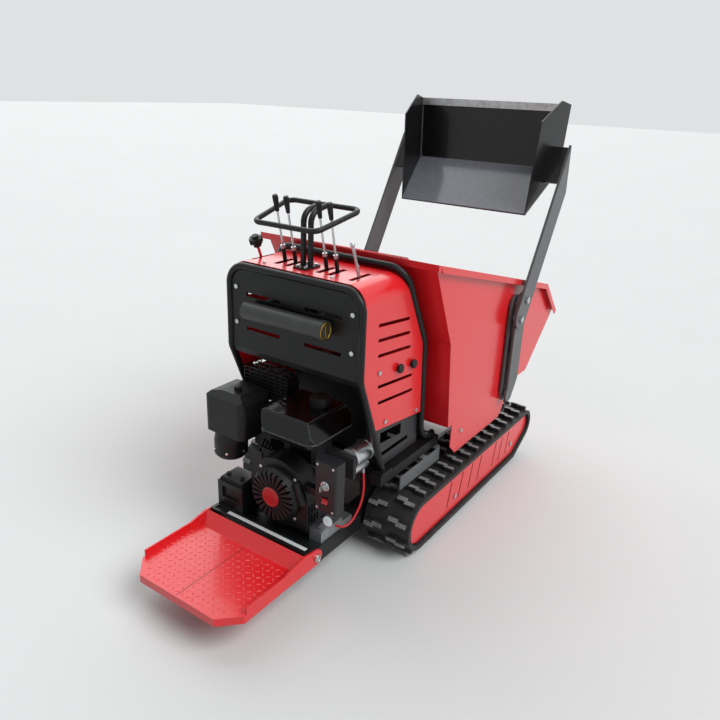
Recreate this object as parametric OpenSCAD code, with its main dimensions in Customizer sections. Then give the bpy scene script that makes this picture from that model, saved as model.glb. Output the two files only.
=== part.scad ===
// Self-loading tracked carrier: rubber tracks, petrol engine, hydraulic console, tipping hopper and loading shovel.
// Millimetres. +X is forward, +Y is left, +Z is up. The origin is on the ground under the middle of the machine.

/* [Overall] */
// Length from the platform's rear edge to the hopper's nose
overall_length = 1921; // [1890:1:1960]

/* [Tracks] */
// Width of each rubber track
track_w = 180; // [164:1:188]
// Distance between the two track centre lines
track_gauge = 570; // [566:1:580]
// Thickness of the belt under its lugs
belt_t = 16; // [12:1:20]
// Height of a lug
lug_h = 18; // [12:1:22]
// Distance from lug to lug that is aimed at
lug_pitch = 68; // [60:1:80]
// Length of a lug across the track
lug_length = 70; // [60:1:76]
// Width of one half of a lug along the track
lug_width = 15; // [12:1:18]
// Step between the two halves of a lug
lug_step = 9; // [6:1:12]
// Place of the drive sprocket along the machine
sprocket_x = -195; // [-205:1:-185]
// Radius of the belt's inner face round the sprocket
sprocket_seat_r = 79; // [74:1:82]
// Number of sprocket teeth
sprocket_teeth = 10; // [8:1:12]
// Place of the front idler along the machine
idler_x = 697; // [690:1:705]
// Height of the idler's axle
idler_z = 140; // [134:1:146]
// Radius of the idler
idler_r = 51; // [46:1:54]
// Radius of the bottom rollers
roller_r = 32; // [28:1:34]
// Place of the front roller along the machine
front_roller_x = 601; // [595:1:606]
// Distance between the two rollers of a side
roller_spacing = 330; // [300:1:360]
// Thickness of the sheet of the side covers
cover_t = 3; // [2:0.5:4]
// How far the side covers lie inside the track's outer edge
cover_depth = 12; // [8:1:16]

/* [Frame] */
// Height of the underside of the main rails
rail_bottom_z = 90; // [84:1:96]
// Height of the main rails' section
rail_h = 55; // [50:1:60]
// Width of the main rails' section
rail_w = 60; // [50:1:64]
// Distance from the middle to the inner face of a main rail
rail_y = 125; // [118:1:126]
// Height of the top of the upper deck rails
deck_z = 326; // [322:1:330]
// Height of the deck rails' section
deck_h = 36; // [30:1:40]
// Width of the deck rails' section
deck_w = 40; // [36:1:44]

/* [Engine base and platform] */
// Place of the rear edge of the engine base
base_rear_x = -622; // [-630:1:-616]
// Half width of the engine base
base_half_w = 206; // [202:1:210]
// Height of the rear cross channel's top
channel_z = 168; // [164:1:174]
// Thickness of the engine base plate
base_t = 8; // [6:1:10]
// Place of the platform's pivot along the machine
platform_pivot_x = -578; // [-582:1:-574]
// Height of the platform's pivot
platform_pivot_z = 130; // [127:1:133]
// Radius of the platform's pivot pins
platform_pin_r = 8; // [6:0.5:10]
// Half width of the platform
platform_half_w = 213; // [212:1:222]
// Height of the tread
platform_z = 130; // [127:1:134]
// Chamfer of the platform's rear corners
platform_chamfer = 60; // [40:1:80]
// Height of the rims at the platform's sides
platform_rim_h = 22; // [16:1:28]
// Thickness of the platform's sheet
platform_t = 4; // [3:0.5:5]

/* [Engine] */
// Place of the crankshaft across the machine
crank_y = -33; // [-36:1:-30]
// Height of the crankshaft
crank_z = 285; // [282:1:288]
// Radius of the recoil cover
recoil_r = 92; // [86:1:96]
// Number of slots in the recoil cover
recoil_slots = 24; // [18:1:28]
// Radius of the fan housing
fan_r = 118; // [112:1:122]
// Height of the fuel tank's top
tank_top_z = 561; // [556:1:566]
// Radius of the fuel cap
cap_r = 32; // [28:1:36]

/* [Console] */
// Radius of the hoop tubes
hoop_r = 11; // [10:0.5:12]
// Half width between the hoops' tube axes
hoop_half_w = 260; // [256:1:264]
// Place of the rear hoop's upright part
rear_hoop_x = -445; // [-450:1:-440]
// Height of the rear hoop's top tube
rear_hoop_z = 965; // [960:1:970]
// Height of the front hoop's top tube
front_hoop_z = 994; // [990:1:1000]
// Bend radius of the hoops
hoop_bend = 65; // [55:1:75]
// Thickness of the cowl's sheet
cowl_t = 3; // [2:0.5:4]
// Half width of the cowl
cowl_half_w = 262; // [260:1:266]
// Height of the levers' pivot rod
lever_pivot_z = 925; // [920:1:930]
// Place of the levers' pivot rod along the machine
lever_x = -332; // [-336:1:-328]
// Radius of the levers' pivot rod
lever_pin_r = 5; // [4:0.5:6]
// Height of the hand levers' tops
lever_top_z = 1190; // [1182:1:1198]
// Radius of the handle's tube
handle_r = 8; // [7:0.5:9]

/* [Hopper] */
// Half width over the hopper's side plates
hopper_half_w = 337; // [335:1:339]
// Thickness of the hopper's sheet
hopper_t = 3; // [2:0.5:4]
// Height of the underside of the hopper's floor
hopper_floor_z = 389; // [386:1:394]
// Height of the rear rim's top
hopper_top_z = 1012; // [1000:1:1030]
// How far the rim stands out
rim_w = 19; // [14:1:20]
// Height of the folded rim
rim_h = 22; // [16:1:28]
// Place of the tipping pivot along the machine
tip_x = 697; // [692:1:702]
// Height of the tipping pivot
tip_z = 342; // [339:1:345]
// Radius of the tipping pins
tip_pin_r = 12; // [10:0.5:14]

/* [Loader] */
// Place of the loader's torque shaft along the machine
loader_x = 472.5; // [470:0.5:475]
// Height of the loader's torque shaft
loader_z = 370; // [368:1:371]
// Radius of the torque shaft
loader_shaft_r = 15; // [12:0.5:16]
// Thickness of an arm plate
arm_t = 10; // [8:1:11]
// Distance from the middle to the outer face of the upper arms
arm_half_w = 381; // [379:1:385]
// Width of the upper arms
upper_arm_w = 100; // [90:1:110]
// Lean of the upper arms from the vertical, in degrees
arm_lean = 30; // [28:0.5:32]
// Thickness of the bucket's sheet
bucket_t = 5; // [4:0.5:7]

/* [Hidden] */
$fn = 64;

// Fits
turn_gap = 0.05;
face_gap = 0.3;
eps = 0.01;

// Track loop: each wheel as [x, z, radius of the belt's inner face]
track_y = track_gauge / 2;
track_in_y = track_y - track_w / 2;
sprocket_z = lug_h + belt_t + sprocket_seat_r;
roller_z = lug_h + belt_t + face_gap + roller_r;
loop = [
    [sprocket_x, sprocket_z, sprocket_seat_r],
    [front_roller_x, roller_z, roller_r + face_gap],
    [idler_x, idler_z, idler_r + face_gap]
];
turn_step = 5;
cover_y = track_y + track_w / 2 - cover_depth;
cover_gap = 6;
cover_flange = 24;
cover_bolts_xz = [[66, 91], [580, 97]];
beam_half_w = 40;
beam_z = [105, 150];
beam_x = [sprocket_x + 95, idler_x - idler_r - 12];
bracket_t = 8;
roller_xs = [front_roller_x, front_roller_x - roller_spacing];
wheel_half_w = beam_half_w - bracket_t - 1;
axle_r = 10;
sprocket_shaft_r = 15;

// Frame
rail_top_z = rail_bottom_z + rail_h;
rail_out_y = rail_y + rail_w;
rail_front_x = tip_x + 38;
deck_y = hoop_half_w;
platform_bracket_y = [base_half_w + face_gap, base_half_w + 7];
deck_x = [-332, 54];
base_z = rail_top_z + base_t;
guard_y = track_y + 5;
guard_t = 4;
guard_x = [-227, 47];
track_top_z = sprocket_z + sprocket_seat_r + belt_t + lug_h;
tip_bracket_y = 100;
tip_bracket_t = 12;
tip_boss_r = 28;

// Rams: the tip ram from the chassis to the hopper, the loader ram from the hopper to the torque shaft's crank
tip_ram_foot = [300, 140];
tip_ram_eye = [580, 360];
tip_ram_r = 30;
loader_ram_foot = [150, 335];
loader_ram_y = 90;
loader_ram_r = 24;
crank_r = 60;
crank_angle = 55;
loader_ram_eye = [loader_x + crank_r * sin(crank_angle), loader_z - crank_r * cos(crank_angle)];
ram_pin_r = 10;
rod_r = 14;

// Console
rear_bend = [rear_hoop_x, 690];
rear_foot = [-296, deck_z + hoop_r / 2];
front_bend = [-72, 722];
front_top = [-220, front_hoop_z];
front_foot = [-48, deck_z + hoop_r + face_gap];
front_foot_end = 40;
panel_x = [rear_hoop_x - 2, rear_hoop_x + 1];
bend_swell = 0.25;
tube_gap = hoop_r + bend_swell + face_gap;
cowl_top_z = rear_hoop_z + 13;
cowl_corner = 65;
lever_ys = [113, 70, -52, -93];
choke_y = 208;
throttle_y = -178;
lever_lean = 13;
throttle_lean = 21;
choke_lean = 22;
lever_slot = [-61, 28];
side_slot = [-68, 36];
handle_y = 10;
handle_top_z = 1161;
handle_near_z = 1118;

// Hopper's outline, counter-clockwise from the rear rim
nose = [overall_length / 2, 607];
rim_front = [803.5, 759];
rear_top = [-27.5 - (hopper_top_z - 713) / 2, hopper_top_z];
hopper_outline = [rear_top, [-27.5, 713], [10.5, hopper_floor_z], [719, hopper_floor_z], nose, rim_front];

// Loader
arm_in_y = arm_half_w - arm_t;
lower_arm_out_y = arm_in_y - arm_t;
lower_arm_x = loader_x + 23;
lower_arm_half_w = 45;
lower_arm_top_z = 790;
inner_plate_y = [hopper_half_w + 6, hopper_half_w + 14];
arm_foot = [475.4, 700];
arm_length = 690;
arm_bolts_t = [-12, 68];
bolt_r = 8;
bucket_outline = [[630.5, 1057], [837.5, 1219], [844.5, 1469], [772.5, 1482], [645.5, 1406]];
bucket_side_y = 284;
bucket_flare = 9.1;
bucket_rise = 2.26;

// Unit vector, left-hand normal and an outline moved in by one distance for each edge
function unit(v) = v / norm(v);
function left_of(v) = [-v.y, v.x];
function moved_corner(a, b, c, d1, d2) =
    let (n1 = left_of(unit(b - a)), n2 = left_of(unit(c - b)), k = n1 * n2)
    b + (n1 * (d1 - d2 * k) + n2 * (d2 - d1 * k)) / (1 - k * k);
function inset(p, d) = let (n = len(p))
    [for (i = [0 : n - 1]) moved_corner(p[(i + n - 1) % n], p[i], p[(i + 1) % n], d[(i + n - 1) % n], d[i])];
// How far a hoop's bend cuts inside its sharp corner
function bend_cut(a, b, c) = hoop_bend * (1 / cos(acos(unit(b - a) * unit(c - b)) / 2) - 1);

// Points on the track loop, walked counter-clockwise as seen from the machine's right
function wheel(i) = loop[i % 3];
function centre(i) = [wheel(i)[0], wheel(i)[1]];
function span(i) = centre(i + 1) - centre(i);
function run_normal(i) = atan2(span(i).y, span(i).x) - acos((wheel(i)[2] - wheel(i + 1)[2]) / norm(span(i)));
function run_length(i) = sqrt(norm(span(i)) ^ 2 - (wheel(i)[2] - wheel(i + 1)[2]) ^ 2);
function turn_at(i) = (run_normal(i) - run_normal(i + 2) + 720) % 360;
function arc_length(i, e) = turn_at(i) * PI / 180 * (wheel(i)[2] + e);
function away(a) = [cos(a), sin(a)];
function tangent_point(i, j, e) = centre(i) + (wheel(i)[2] + e) * away(run_normal(j));
function loop_length(e) = run_length(0) + run_length(1) + run_length(2)
    + arc_length(0, e) + arc_length(1, e) + arc_length(2, e);
function loop_spot(s, e, i = 0) =
    s < run_length(i)
        ? [tangent_point(i, i, e) + s * left_of(away(run_normal(i))), run_normal(i)]
        : s < run_length(i) + arc_length(i + 1, e)
            ? let (a = run_normal(i) + (s - run_length(i)) / (wheel(i + 1)[2] + e) * 180 / PI)
                [centre(i + 1) + (wheel(i + 1)[2] + e) * away(a), a]
            : loop_spot(s - run_length(i) - arc_length(i + 1, e), e, i + 1);

// An outline in X and Z, made solid between two places across the machine
module slab(y0, y1) { translate([0, y1, 0]) rotate([90, 0, 0]) linear_extrude(y1 - y0) children(); }
// An outline in Y and Z, made solid between two places along the machine
module frame_slab(x0, x1) {
    translate([x0, 0, 0]) rotate([90, 0, 90]) linear_extrude(x1 - x0) children();
}
module block(x, y, z) { translate([x[0], y[0], z[0]]) cube([x[1] - x[0], y[1] - y[0], z[1] - z[0]]); }
module across(r, y0, y1, x, z) { translate([x, y0, z]) rotate([-90, 0, 0]) cylinder(r = r, h = y1 - y0); }
module along(r, x0, x1, y, z) { translate([x0, y, z]) rotate([0, 90, 0]) cylinder(r = r, h = x1 - x0); }
module both_sides() { children(); mirror([0, 1, 0]) children(); }
module side(left) { if (left) children(); else mirror([0, 1, 0]) children(); }
module rounded(w, h, r) {
    square([w - 2 * r, h], center = true);
    square([w, h - 2 * r], center = true);
    for (i = [-1, 1], j = [-1, 1]) translate([i * (w / 2 - r), j * (h / 2 - r)]) circle(r = r);
}

// A tube along a line of points; its bends are a hair thicker, so that the straights end inside them
module pipe(p, r, bend) {
    n = len(p) - 1;
    dir = [for (i = [0 : n - 1]) unit(p[i + 1] - p[i])];
    turn = [for (i = [0 : n]) i == 0 || i == n ? 0 : acos(dir[i - 1] * dir[i])];
    back = [for (i = [0 : n]) turn[i] > 0 ? bend * tan(turn[i] / 2) - 2 : 0];
    for (i = [0 : n - 1]) {
        a = p[i] + dir[i] * back[i];
        b = p[i + 1] - dir[i] * back[i + 1];
        translate(a) rotate([0, acos(dir[i].z), atan2(dir[i].y, dir[i].x)]) cylinder(r = r, h = norm(b - a));
    }
    for (i = [1 : n - 1]) if (turn[i] > 0) {
        d1 = dir[i - 1];
        inward = unit(dir[i] - (d1 * dir[i]) * d1);
        c = p[i] - d1 * (back[i] + 2) + inward * bend;
        z = cross(d1, inward);
        multmatrix([
            [-inward.x, d1.x, z.x, c.x], [-inward.y, d1.y, z.y, c.y], [-inward.z, d1.z, z.z, c.z], [0, 0, 0, 1]
        ]) rotate_extrude(angle = turn[i]) translate([bend, 0]) circle(r = r + bend_swell);
    }
}

// The outline of the track loop, moved out by e from the belt's inner face, its turns in short chords
function loop_outline(e) = [for (i = [0 : 2]) let (n = ceil(turn_at(i) / turn_step)) each
    [for (k = [0 : n]) centre(i) + (wheel(i)[2] + e) * away(run_normal(i + 2) + turn_at(i) * k / n)]];

// One stepped lug, lying across the track from its middle to its edge
module lug() {
    half = lug_length / 2;
    s = lug_step / 2;
    w = lug_width / 2;
    sink = 4;
    translate([0, 0, -sink]) linear_extrude(lug_h + sink) polygon([
        [s + w, 0], [s + w, half + w / 3], [w - s, half + w / 3], [w - s, lug_length], [-s - w, lug_length],
        [-s - w, half - w / 3], [s - w, half - w / 3], [s - w, 0]
    ]);
}

module track_belt() {
    count = round(loop_length(belt_t) / lug_pitch);
    step = loop_length(belt_t) / count;
    middle_gap = (track_w - 2 * lug_length) / 4;
    slab(track_in_y, track_in_y + track_w) difference() {
        polygon(loop_outline(belt_t));
        polygon(loop_outline(0));
    }
    for (i = [0 : count - 1], column = [0, 1]) {
        spot = loop_spot((i + column / 2 + 0.25) * step, belt_t);
        translate([spot[0].x, track_y, spot[0].y]) rotate([0, 90 - spot[1], 0])
            mirror([0, column, 0]) translate([0, middle_gap, 0]) lug();
    }
}
module track_left() { color("#1c1c1c") track_belt(); }
module track_right() { color("#1c1c1c") side(false) track_belt(); }

// Inner plate, beam, roller brackets, idler fork and drive motor of one track
module track_frame() {
    plate_y = track_y - beam_half_w;
    outer_y = track_y + beam_half_w;
    fork_x = [beam_x[1] - 60, idler_x + 22];
    motor_r = 42;
    difference() {
        union() {
            block(beam_x, [plate_y, outer_y], beam_z);
            block([sprocket_x - 45, beam_x[0] + 1], [plate_y, plate_y + bracket_t], [70, beam_z[1]]);
            across(motor_r, track_in_y + 3, plate_y + 1, sprocket_x, sprocket_z);
            for (y = [plate_y, outer_y - bracket_t]) {
                block(fork_x, [y, y + bracket_t], [beam_z[0] + 8, idler_z + 22]);
                for (x = roller_xs) block([x - 22, x + 22], [y, y + bracket_t], [roller_z - 18, beam_z[0] + 1]);
            }
            for (x = roller_xs) across(axle_r, plate_y, outer_y, x, roller_z);
            across(axle_r, plate_y, outer_y, idler_x, idler_z);
            for (b = cover_bolts_xz) cover_post(b);
            for (x = [90, 430]) block([x, x + 60], [rail_out_y, plate_y + 1], [rail_bottom_z + 8, rail_top_z - 5]);
        }
        across(sprocket_shaft_r + turn_gap, track_in_y + 10, plate_y + 30, sprocket_x, sprocket_z);
    }
}
// A post that carries a side cover at one of its bolts
module cover_post(b) {
    arm_x = [b.x - 12, b.x + 12];
    across(axle_r, track_y + beam_half_w - 1, cover_y - cover_t, b.x, b.y);
    block(arm_x, [track_y + beam_half_w - 1, track_y + beam_half_w + 8], [b.y - 12, beam_z[1]]);
}
module track_frames() { color("#222222") both_sides() track_frame(); }

module track_cover() {
    slot_w = 8;
    slots_x = [4, 94, 177, 254, 394, 457, 522];
    slot_z = [66, 168];
    slot_lean = 26;
    difference() {
        slab(cover_y - cover_flange, cover_y) polygon(loop_outline(-cover_gap));
        slab(cover_y - cover_flange - 1, cover_y - cover_t) polygon(loop_outline(-cover_gap - cover_t));
        for (x = slots_x) slab(cover_y - cover_t - 1, cover_y + 1) polygon([
            [x, slot_z[0]], [x + slot_w, slot_z[0]], [x + slot_w + slot_lean, slot_z[1]], [x + slot_lean, slot_z[1]]
        ]);
        for (b = cover_bolts_xz) across(3.5, cover_y - cover_t - 1, cover_y + 1, b.x, b.y);
    }
}
module track_covers() { color("#e0252b") both_sides() track_cover(); }

// Upright guard plate over the middle of a track, hung from the deck rail on two tabs
module track_guard() {
    top_z = deck_z - deck_h;
    tab_y = deck_y - 10;
    block(guard_x, [guard_y, guard_y + guard_t], [track_top_z + 6, top_z - 8]);
    for (x = [guard_x[0] + 150, guard_x[1] - 26])
        block([x, x + 26], [tab_y, guard_y + guard_t], [top_z - 8 - eps, top_z]);
}
module track_guards() { color("#6e7174") both_sides() track_guard(); }

module bolt_head(r, h) { cylinder(r = r, h = h, $fn = 6); }
// Heads of the bolts on the covers, the rear panel and the cowl
module cover_bolts() {
    head_r = 8;
    head_h = 5;
    color("#c8c8c8") {
        both_sides() for (b = cover_bolts_xz)
            translate([b.x, cover_y, b.y]) rotate([-90, 0, 0]) bolt_head(head_r + 2, head_h);
        both_sides() for (z = [778, 895])
            translate([panel_x[0], 228, z]) rotate([0, -90, 0]) bolt_head(head_r, head_h);
        both_sides() for (b = [[-348, 694], [-300, 512], [-102, 480]])
            translate([b.x, cowl_half_w, b.y]) rotate([-90, 0, 0]) bolt_head(head_r, head_h);
    }
}

// Main rails, cross members, deck rails on side walls, tip brackets and hopper rests
module chassis_frame() {
    rails_x = [base_rear_x + 4, rail_front_x];
    wall_t = 6;
    rest_x = [70, 110];
    foot_ear_y = [18, 28];
    color("#1b1c1e") difference() {
        union() {
            both_sides() {
                block(rails_x, [rail_y, rail_out_y], [rail_bottom_z, rail_top_z]);
                block([deck_x[0], deck_x[1]], [deck_y - deck_w / 2, deck_y + deck_w / 2], [deck_z - deck_h, deck_z]);
                block([-300, deck_x[1]], [rail_out_y - wall_t, rail_out_y], [rail_top_z - 1, deck_z]);
                for (x = [-300, -100]) block([x, x + 30], [rail_out_y - 1, deck_y], [deck_z - deck_h, deck_z]);
                block(rest_x, [rail_y + 10, rail_out_y - 10], [rail_top_z - 1, hopper_floor_z - face_gap]);
                slab(tip_bracket_y, tip_bracket_y + tip_bracket_t) tip_bracket_outline();
                block([640, rail_front_x], [tip_bracket_y, rail_y + 1], [rail_bottom_z, rail_top_z]);
                slab(foot_ear_y[0], foot_ear_y[1]) union() {
                    translate(tip_ram_foot) circle(r = 24);
                    translate([tip_ram_foot.x - 24, rail_bottom_z]) square([48, tip_ram_foot.y - rail_bottom_z]);
                }
            }
            for (x = [-300, 30, 276, 640])
                block([x, x + 48], [-rail_y - 1, rail_y + 1], [rail_bottom_z, rail_bottom_z + 22]);
            block([deck_x[1] - 42, deck_x[1]], [-deck_y, deck_y], [deck_z - deck_h, deck_z]);
            block([-248, -100], [-rail_out_y, rail_out_y], [deck_z - 8, deck_z]);
        }
        both_sides() across(tip_pin_r + turn_gap, tip_bracket_y - 1, tip_bracket_y + tip_bracket_t + 1, tip_x, tip_z);
        across(ram_pin_r + turn_gap, -40, 40, tip_ram_foot.x, tip_ram_foot.y);
    }
}
module tip_bracket_outline() {
    translate([tip_x, tip_z]) circle(r = tip_boss_r);
    polygon([
        [tip_x - tip_boss_r, tip_z], [tip_x - 45, rail_bottom_z], [rail_front_x, rail_bottom_z],
        [tip_x + tip_boss_r, tip_z]
    ]);
}

// Pins that stay with the chassis: tipping hinge, platform hinge and the tip ram's foot
module hinge_pins() {
    head_t = 5;
    tip_end_y = tip_bracket_y + 2 * tip_bracket_t + 4;
    pin_in_y = base_half_w - 16;
    pin_head_y = platform_bracket_y[1] + face_gap;
    color("#b9bcc0") {
        both_sides() {
            across(tip_pin_r, tip_bracket_y - head_t, tip_end_y, tip_x, tip_z);
            across(tip_pin_r + 5, tip_bracket_y - head_t, tip_bracket_y, tip_x, tip_z);
            across(platform_pin_r, pin_in_y, pin_head_y + head_t, platform_pivot_x, platform_pivot_z);
            across(platform_pin_r + 4, pin_head_y, pin_head_y + head_t, platform_pivot_x, platform_pivot_z);
        }
        across(ram_pin_r, -32, 32, tip_ram_foot.x, tip_ram_foot.y);
    }
}

battery_y = [base_half_w - 108, base_half_w - 11];
// Base plate with a rear cross channel, side flanges and the battery's bracket
module engine_base() {
    flange_t = 8;
    front_x = -330;
    channel_w = 34;
    wall_x = [base_rear_x + channel_w, base_rear_x + channel_w + 6];
    color("#17181a") difference() {
        union() {
            block([base_rear_x, front_x], [-base_half_w, base_half_w], [rail_top_z, base_z]);
            block([base_rear_x, base_rear_x + channel_w], [-base_half_w, base_half_w], [rail_top_z, channel_z]);
            both_sides()
                block([base_rear_x, front_x], [base_half_w - flange_t, base_half_w], [rail_bottom_z + 8, base_z]);
            block(wall_x, [battery_y[0] - 6, battery_y[1] + 7], [base_z - 1, base_z + 109]);
        }
        block([base_rear_x + 8, base_rear_x + 26], [12 - base_half_w, base_half_w - 12], [channel_z - 6, channel_z + 1]);
        block([wall_x[0] - 1, wall_x[1] + 1], [battery_y[0] + 14, battery_y[1] - 13], [base_z + 52, base_z + 92]);
        both_sides() across(platform_pin_r + turn_gap, base_half_w - 17, base_half_w + 1,
            platform_pivot_x, platform_pivot_z);
    }
}

// Tread with side rims, folded rear lip, sloped cross plate and two pivot brackets
module platform() {
    rear_x = -overall_length / 2;
    front_x = base_rear_x - 50;
    w = platform_half_w;
    c = platform_chamfer;
    t = platform_t;
    lip_h = 26;
    bracket_y = platform_bracket_y;
    plan = [[front_x, w], [rear_x + c, w], [rear_x, w - c], [rear_x, c - w], [rear_x + c, -w], [front_x, -w]];
    color("#e0252b") difference() {
        union() {
            translate([0, 0, platform_z - lip_h]) linear_extrude(lip_h) polygon(plan);
            both_sides() block([rear_x + c + 8, front_x + 1], [w - t, w], [platform_z - 1, platform_z + platform_rim_h]);
            slab(t - bracket_y[1], bracket_y[1] - t) polygon([
                [front_x - 2, platform_z - t], [front_x, platform_z - t], [front_x + 40, platform_z + 34],
                [front_x + 35, platform_z + 37], [front_x - 2, platform_z]
            ]);
            both_sides() slab(bracket_y[0], bracket_y[1]) union() {
                translate([platform_pivot_x, platform_pivot_z]) circle(r = 27);
                polygon([
                    [front_x - 45, platform_z - lip_h], [platform_pivot_x, platform_pivot_z - 27],
                    [platform_pivot_x, platform_pivot_z + 27], [front_x + 36, platform_z + 37],
                    [front_x - 45, platform_z + platform_rim_h]
                ]);
            }
        }
        translate([0, 0, platform_z - lip_h - 1]) linear_extrude(lip_h + 1 - t) polygon(
            [for (p = plan) [p.x > front_x - 1 ? p.x + 1 : p.x + t, p.y * (w - t) / w]]);
        both_sides() across(platform_pin_r + turn_gap, bracket_y[1] - 20, bracket_y[1] + 1,
            platform_pivot_x, platform_pivot_z);
    }
}

tank_h = 87;
cleaner_z = [412, 561];
exhaust_z = 404;
starter_x = -412;
starter_y = -208;
// Crankcase on its feet, leaning finned cylinder and the tank's carriers
module engine_block() {
    case_x = [-484, -370];
    case_y = [crank_y - 107, crank_y + 133];
    case_top_z = 375;
    fin_t = 5;
    color("#3a3b3d") {
        block(case_x, case_y, [base_z + 20, case_top_z]);
        block([case_x[0], case_x[1] - 5], [case_y[0] - 60, 90], [base_z, base_z + 24]);
        block([-540, -430], [case_y[0] - 60, crank_y - fan_r - 1], [base_z, 195]);
        translate([-505, case_y[0] - 30, 185]) rotate([40, 0, 0]) cylinder(r = 17, h = 44);
        translate([0, case_y[1] - 40, 290]) rotate([25, 0, 0]) {
            block([-468, -390], [0, 92], [0, 80]);
            for (i = [0 : 4]) block([-480, -378], [24 + i * 13, 24 + i * 13 + fin_t], [-8, 88]);
        }
        block([-470, -415], [70, 140], [case_top_z - 5, cleaner_z[0]]);
        block([-410, -374], [62, 122], [case_top_z - 5, exhaust_z]);
        for (y = [crank_y - 90, crank_y + 20]) block([-470, -390], [y, y + 24], [case_top_z - 1, tank_top_z - tank_h]);
        block([-428, starter_x], [starter_y - 28, case_y[0] + 20], [345, 420]);
    }
}

fan_x = -552;
// Round blower housing with louvres on its right flank and a stiffening web on its left
module fan_housing() {
    x = [fan_x, -484];
    color("#1a1b1d") difference() {
        union() {
            along(fan_r, x[0], x[1], crank_y, crank_z);
            block(x, [crank_y - fan_r, crank_y + 84], [base_z + 26, crank_z]);
            frame_slab(fan_x + 8, fan_x + 14) polygon([[crank_y + 141, 377], [crank_y + 75, 400], [crank_y + 78, 258]]);
            block([fan_x + 4, fan_x + 28], [box_y[1], crank_y - 90], [326, 350]);
        }
        along(recoil_r - 8, x[0] - 1, x[0] + 56, crank_y, crank_z);
        for (i = [0 : 3], z = [crank_z - 82, crank_z - 44])
            block([x[0] + 8 + i * 14, x[0] + 16 + i * 14], [crank_y - fan_r - 1, crank_y - fan_r + 9], [z, z + 32]);
        along(rope_r + face_gap, x[0] - 1, x[1] + 1, rope_y, rope_z);
    }
}
rope_y = crank_y - 98;
rope_z = crank_z + 36;
rope_r = 3;

// Cup with radial slots round a plain hub
module recoil_cover() {
    x = [fan_x - 34, fan_x];
    wall = 3;
    slot_r = [36, 84];
    color("#1a1b1d") {
        difference() {
            translate([x[1], crank_y, crank_z]) rotate([0, -90, 0]) rotate_extrude() polygon([
                [0, x[1] - x[0] - wall], [recoil_r - 14 - wall, x[1] - x[0] - wall], [recoil_r - wall, 12],
                [recoil_r - wall, 0], [recoil_r, 0], [recoil_r, 14], [recoil_r - 12, x[1] - x[0]], [0, x[1] - x[0]]
            ]);
            for (i = [0 : recoil_slots - 1]) translate([x[0] - 1, crank_y, crank_z])
                rotate([i * 360 / recoil_slots, 0, 0]) frame_slab(0, 20) polygon([
                    [slot_r[0], -1.8], [slot_r[1], -4.2], [slot_r[1], 4.2], [slot_r[0], 1.8]
                ]);
        }
        along(34, x[0] - 3, x[0] + 1, crank_y, crank_z);
    }
}
module recoil_handle() {
    grip_half = 36;
    color("#202124") {
        along(rope_r, fan_x - 12, fan_x + 64, rope_y, rope_z);
        translate([fan_x - face_gap - 11, rope_y, rope_z]) rotate([-20, 0, 0])
            cylinder(r = 11, h = 2 * grip_half, center = true);
    }
}

// Tank whose sides flare from a bevelled top to the seam and draw in below it
module fuel_tank() {
    x = [-563, -335];
    y = [crank_y - 143, crank_y + 77];
    bottom_z = tank_top_z - tank_h;
    seam_z = tank_top_z - 66;
    edge = 5;
    flare = 16;
    right_flare = 28;
    left_flare = 8;
    edge_z = tank_top_z - edge;
    color("#141517") {
        intersection() {
            translate([(x[0] + x[1]) / 2, (y[0] + y[1]) / 2, bottom_z]) linear_extrude(tank_h)
                rounded(x[1] - x[0], y[1] - y[0], 34);
            slab(y[0], y[1]) polygon([
                [x[0] + 10, bottom_z], [x[1] - 10, bottom_z], [x[1], seam_z], [x[1] - flare, edge_z],
                [x[1] - flare - edge, tank_top_z], [x[0] + flare + edge, tank_top_z], [x[0] + flare, edge_z],
                [x[0], seam_z]
            ]);
            frame_slab(x[0], x[1]) polygon([
                [y[0] + 26, bottom_z], [y[1] - 10, bottom_z], [y[1], seam_z], [y[1] - left_flare, edge_z],
                [y[1] - left_flare - edge, tank_top_z], [y[0] + right_flare + edge, tank_top_z],
                [y[0] + right_flare, edge_z], [y[0], seam_z]
            ]);
        }
        translate([cap_xy.x, cap_xy.y, tank_top_z - 1]) cylinder(r = cap_r - 8, h = 9);
    }
}
cap_xy = [-416, crank_y - 56];
module fuel_cap() {
    grip_count = 18;
    color("#101112") translate([cap_xy.x, cap_xy.y, tank_top_z + face_gap]) difference() {
        union() {
            cylinder(r = cap_r - 1, h = 30);
            for (i = [0 : grip_count - 1]) rotate(i * 360 / grip_count)
                translate([cap_r - 2, -2, 6]) cube([3, 4, 20]);
        }
        translate([0, 0, -1]) cylinder(r = cap_r - 8 + turn_gap, h = 9.4);
    }
}

// Box with a round lower bowl and the elbow to the cylinder
module air_cleaner() {
    x = [-555, -412];
    y = [116, 290];
    z = cleaner_z;
    bowl = [-503, 219];
    bowl_h = 94;
    color("#1c1d1f") {
        intersection() {
            translate([(x[0] + x[1]) / 2, (y[0] + y[1]) / 2, z[0]]) linear_extrude(z[1] - z[0])
                rounded(x[1] - x[0], y[1] - y[0], 26);
            frame_slab(x[0], x[1]) polygon([
                [y[0], z[0]], [y[1], z[0]], [y[1], z[1] - 34], [y[1] - 22, z[1] - 8], [y[1] - 60, z[1]],
                [y[0] + 30, z[1]], [y[0] + 8, z[1] - 12], [y[0], z[1] - 30]
            ]);
            slab(y[0], y[1]) polygon([
                [x[0], z[0]], [x[1], z[0]], [x[1], z[1] - 16], [x[1] - 16, z[1]], [x[0] + 26, z[1]], [x[0], z[1] - 20]
            ]);
        }
        translate([bowl.x, bowl.y, z[0] - bowl_h]) rotate_extrude() polygon([
            [0, 0], [48, 0], [57, 11], [57, 60], [50, bowl_h + 1], [0, bowl_h + 1]
        ]);
    }
}
knob_xy = [-495, 188];
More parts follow.
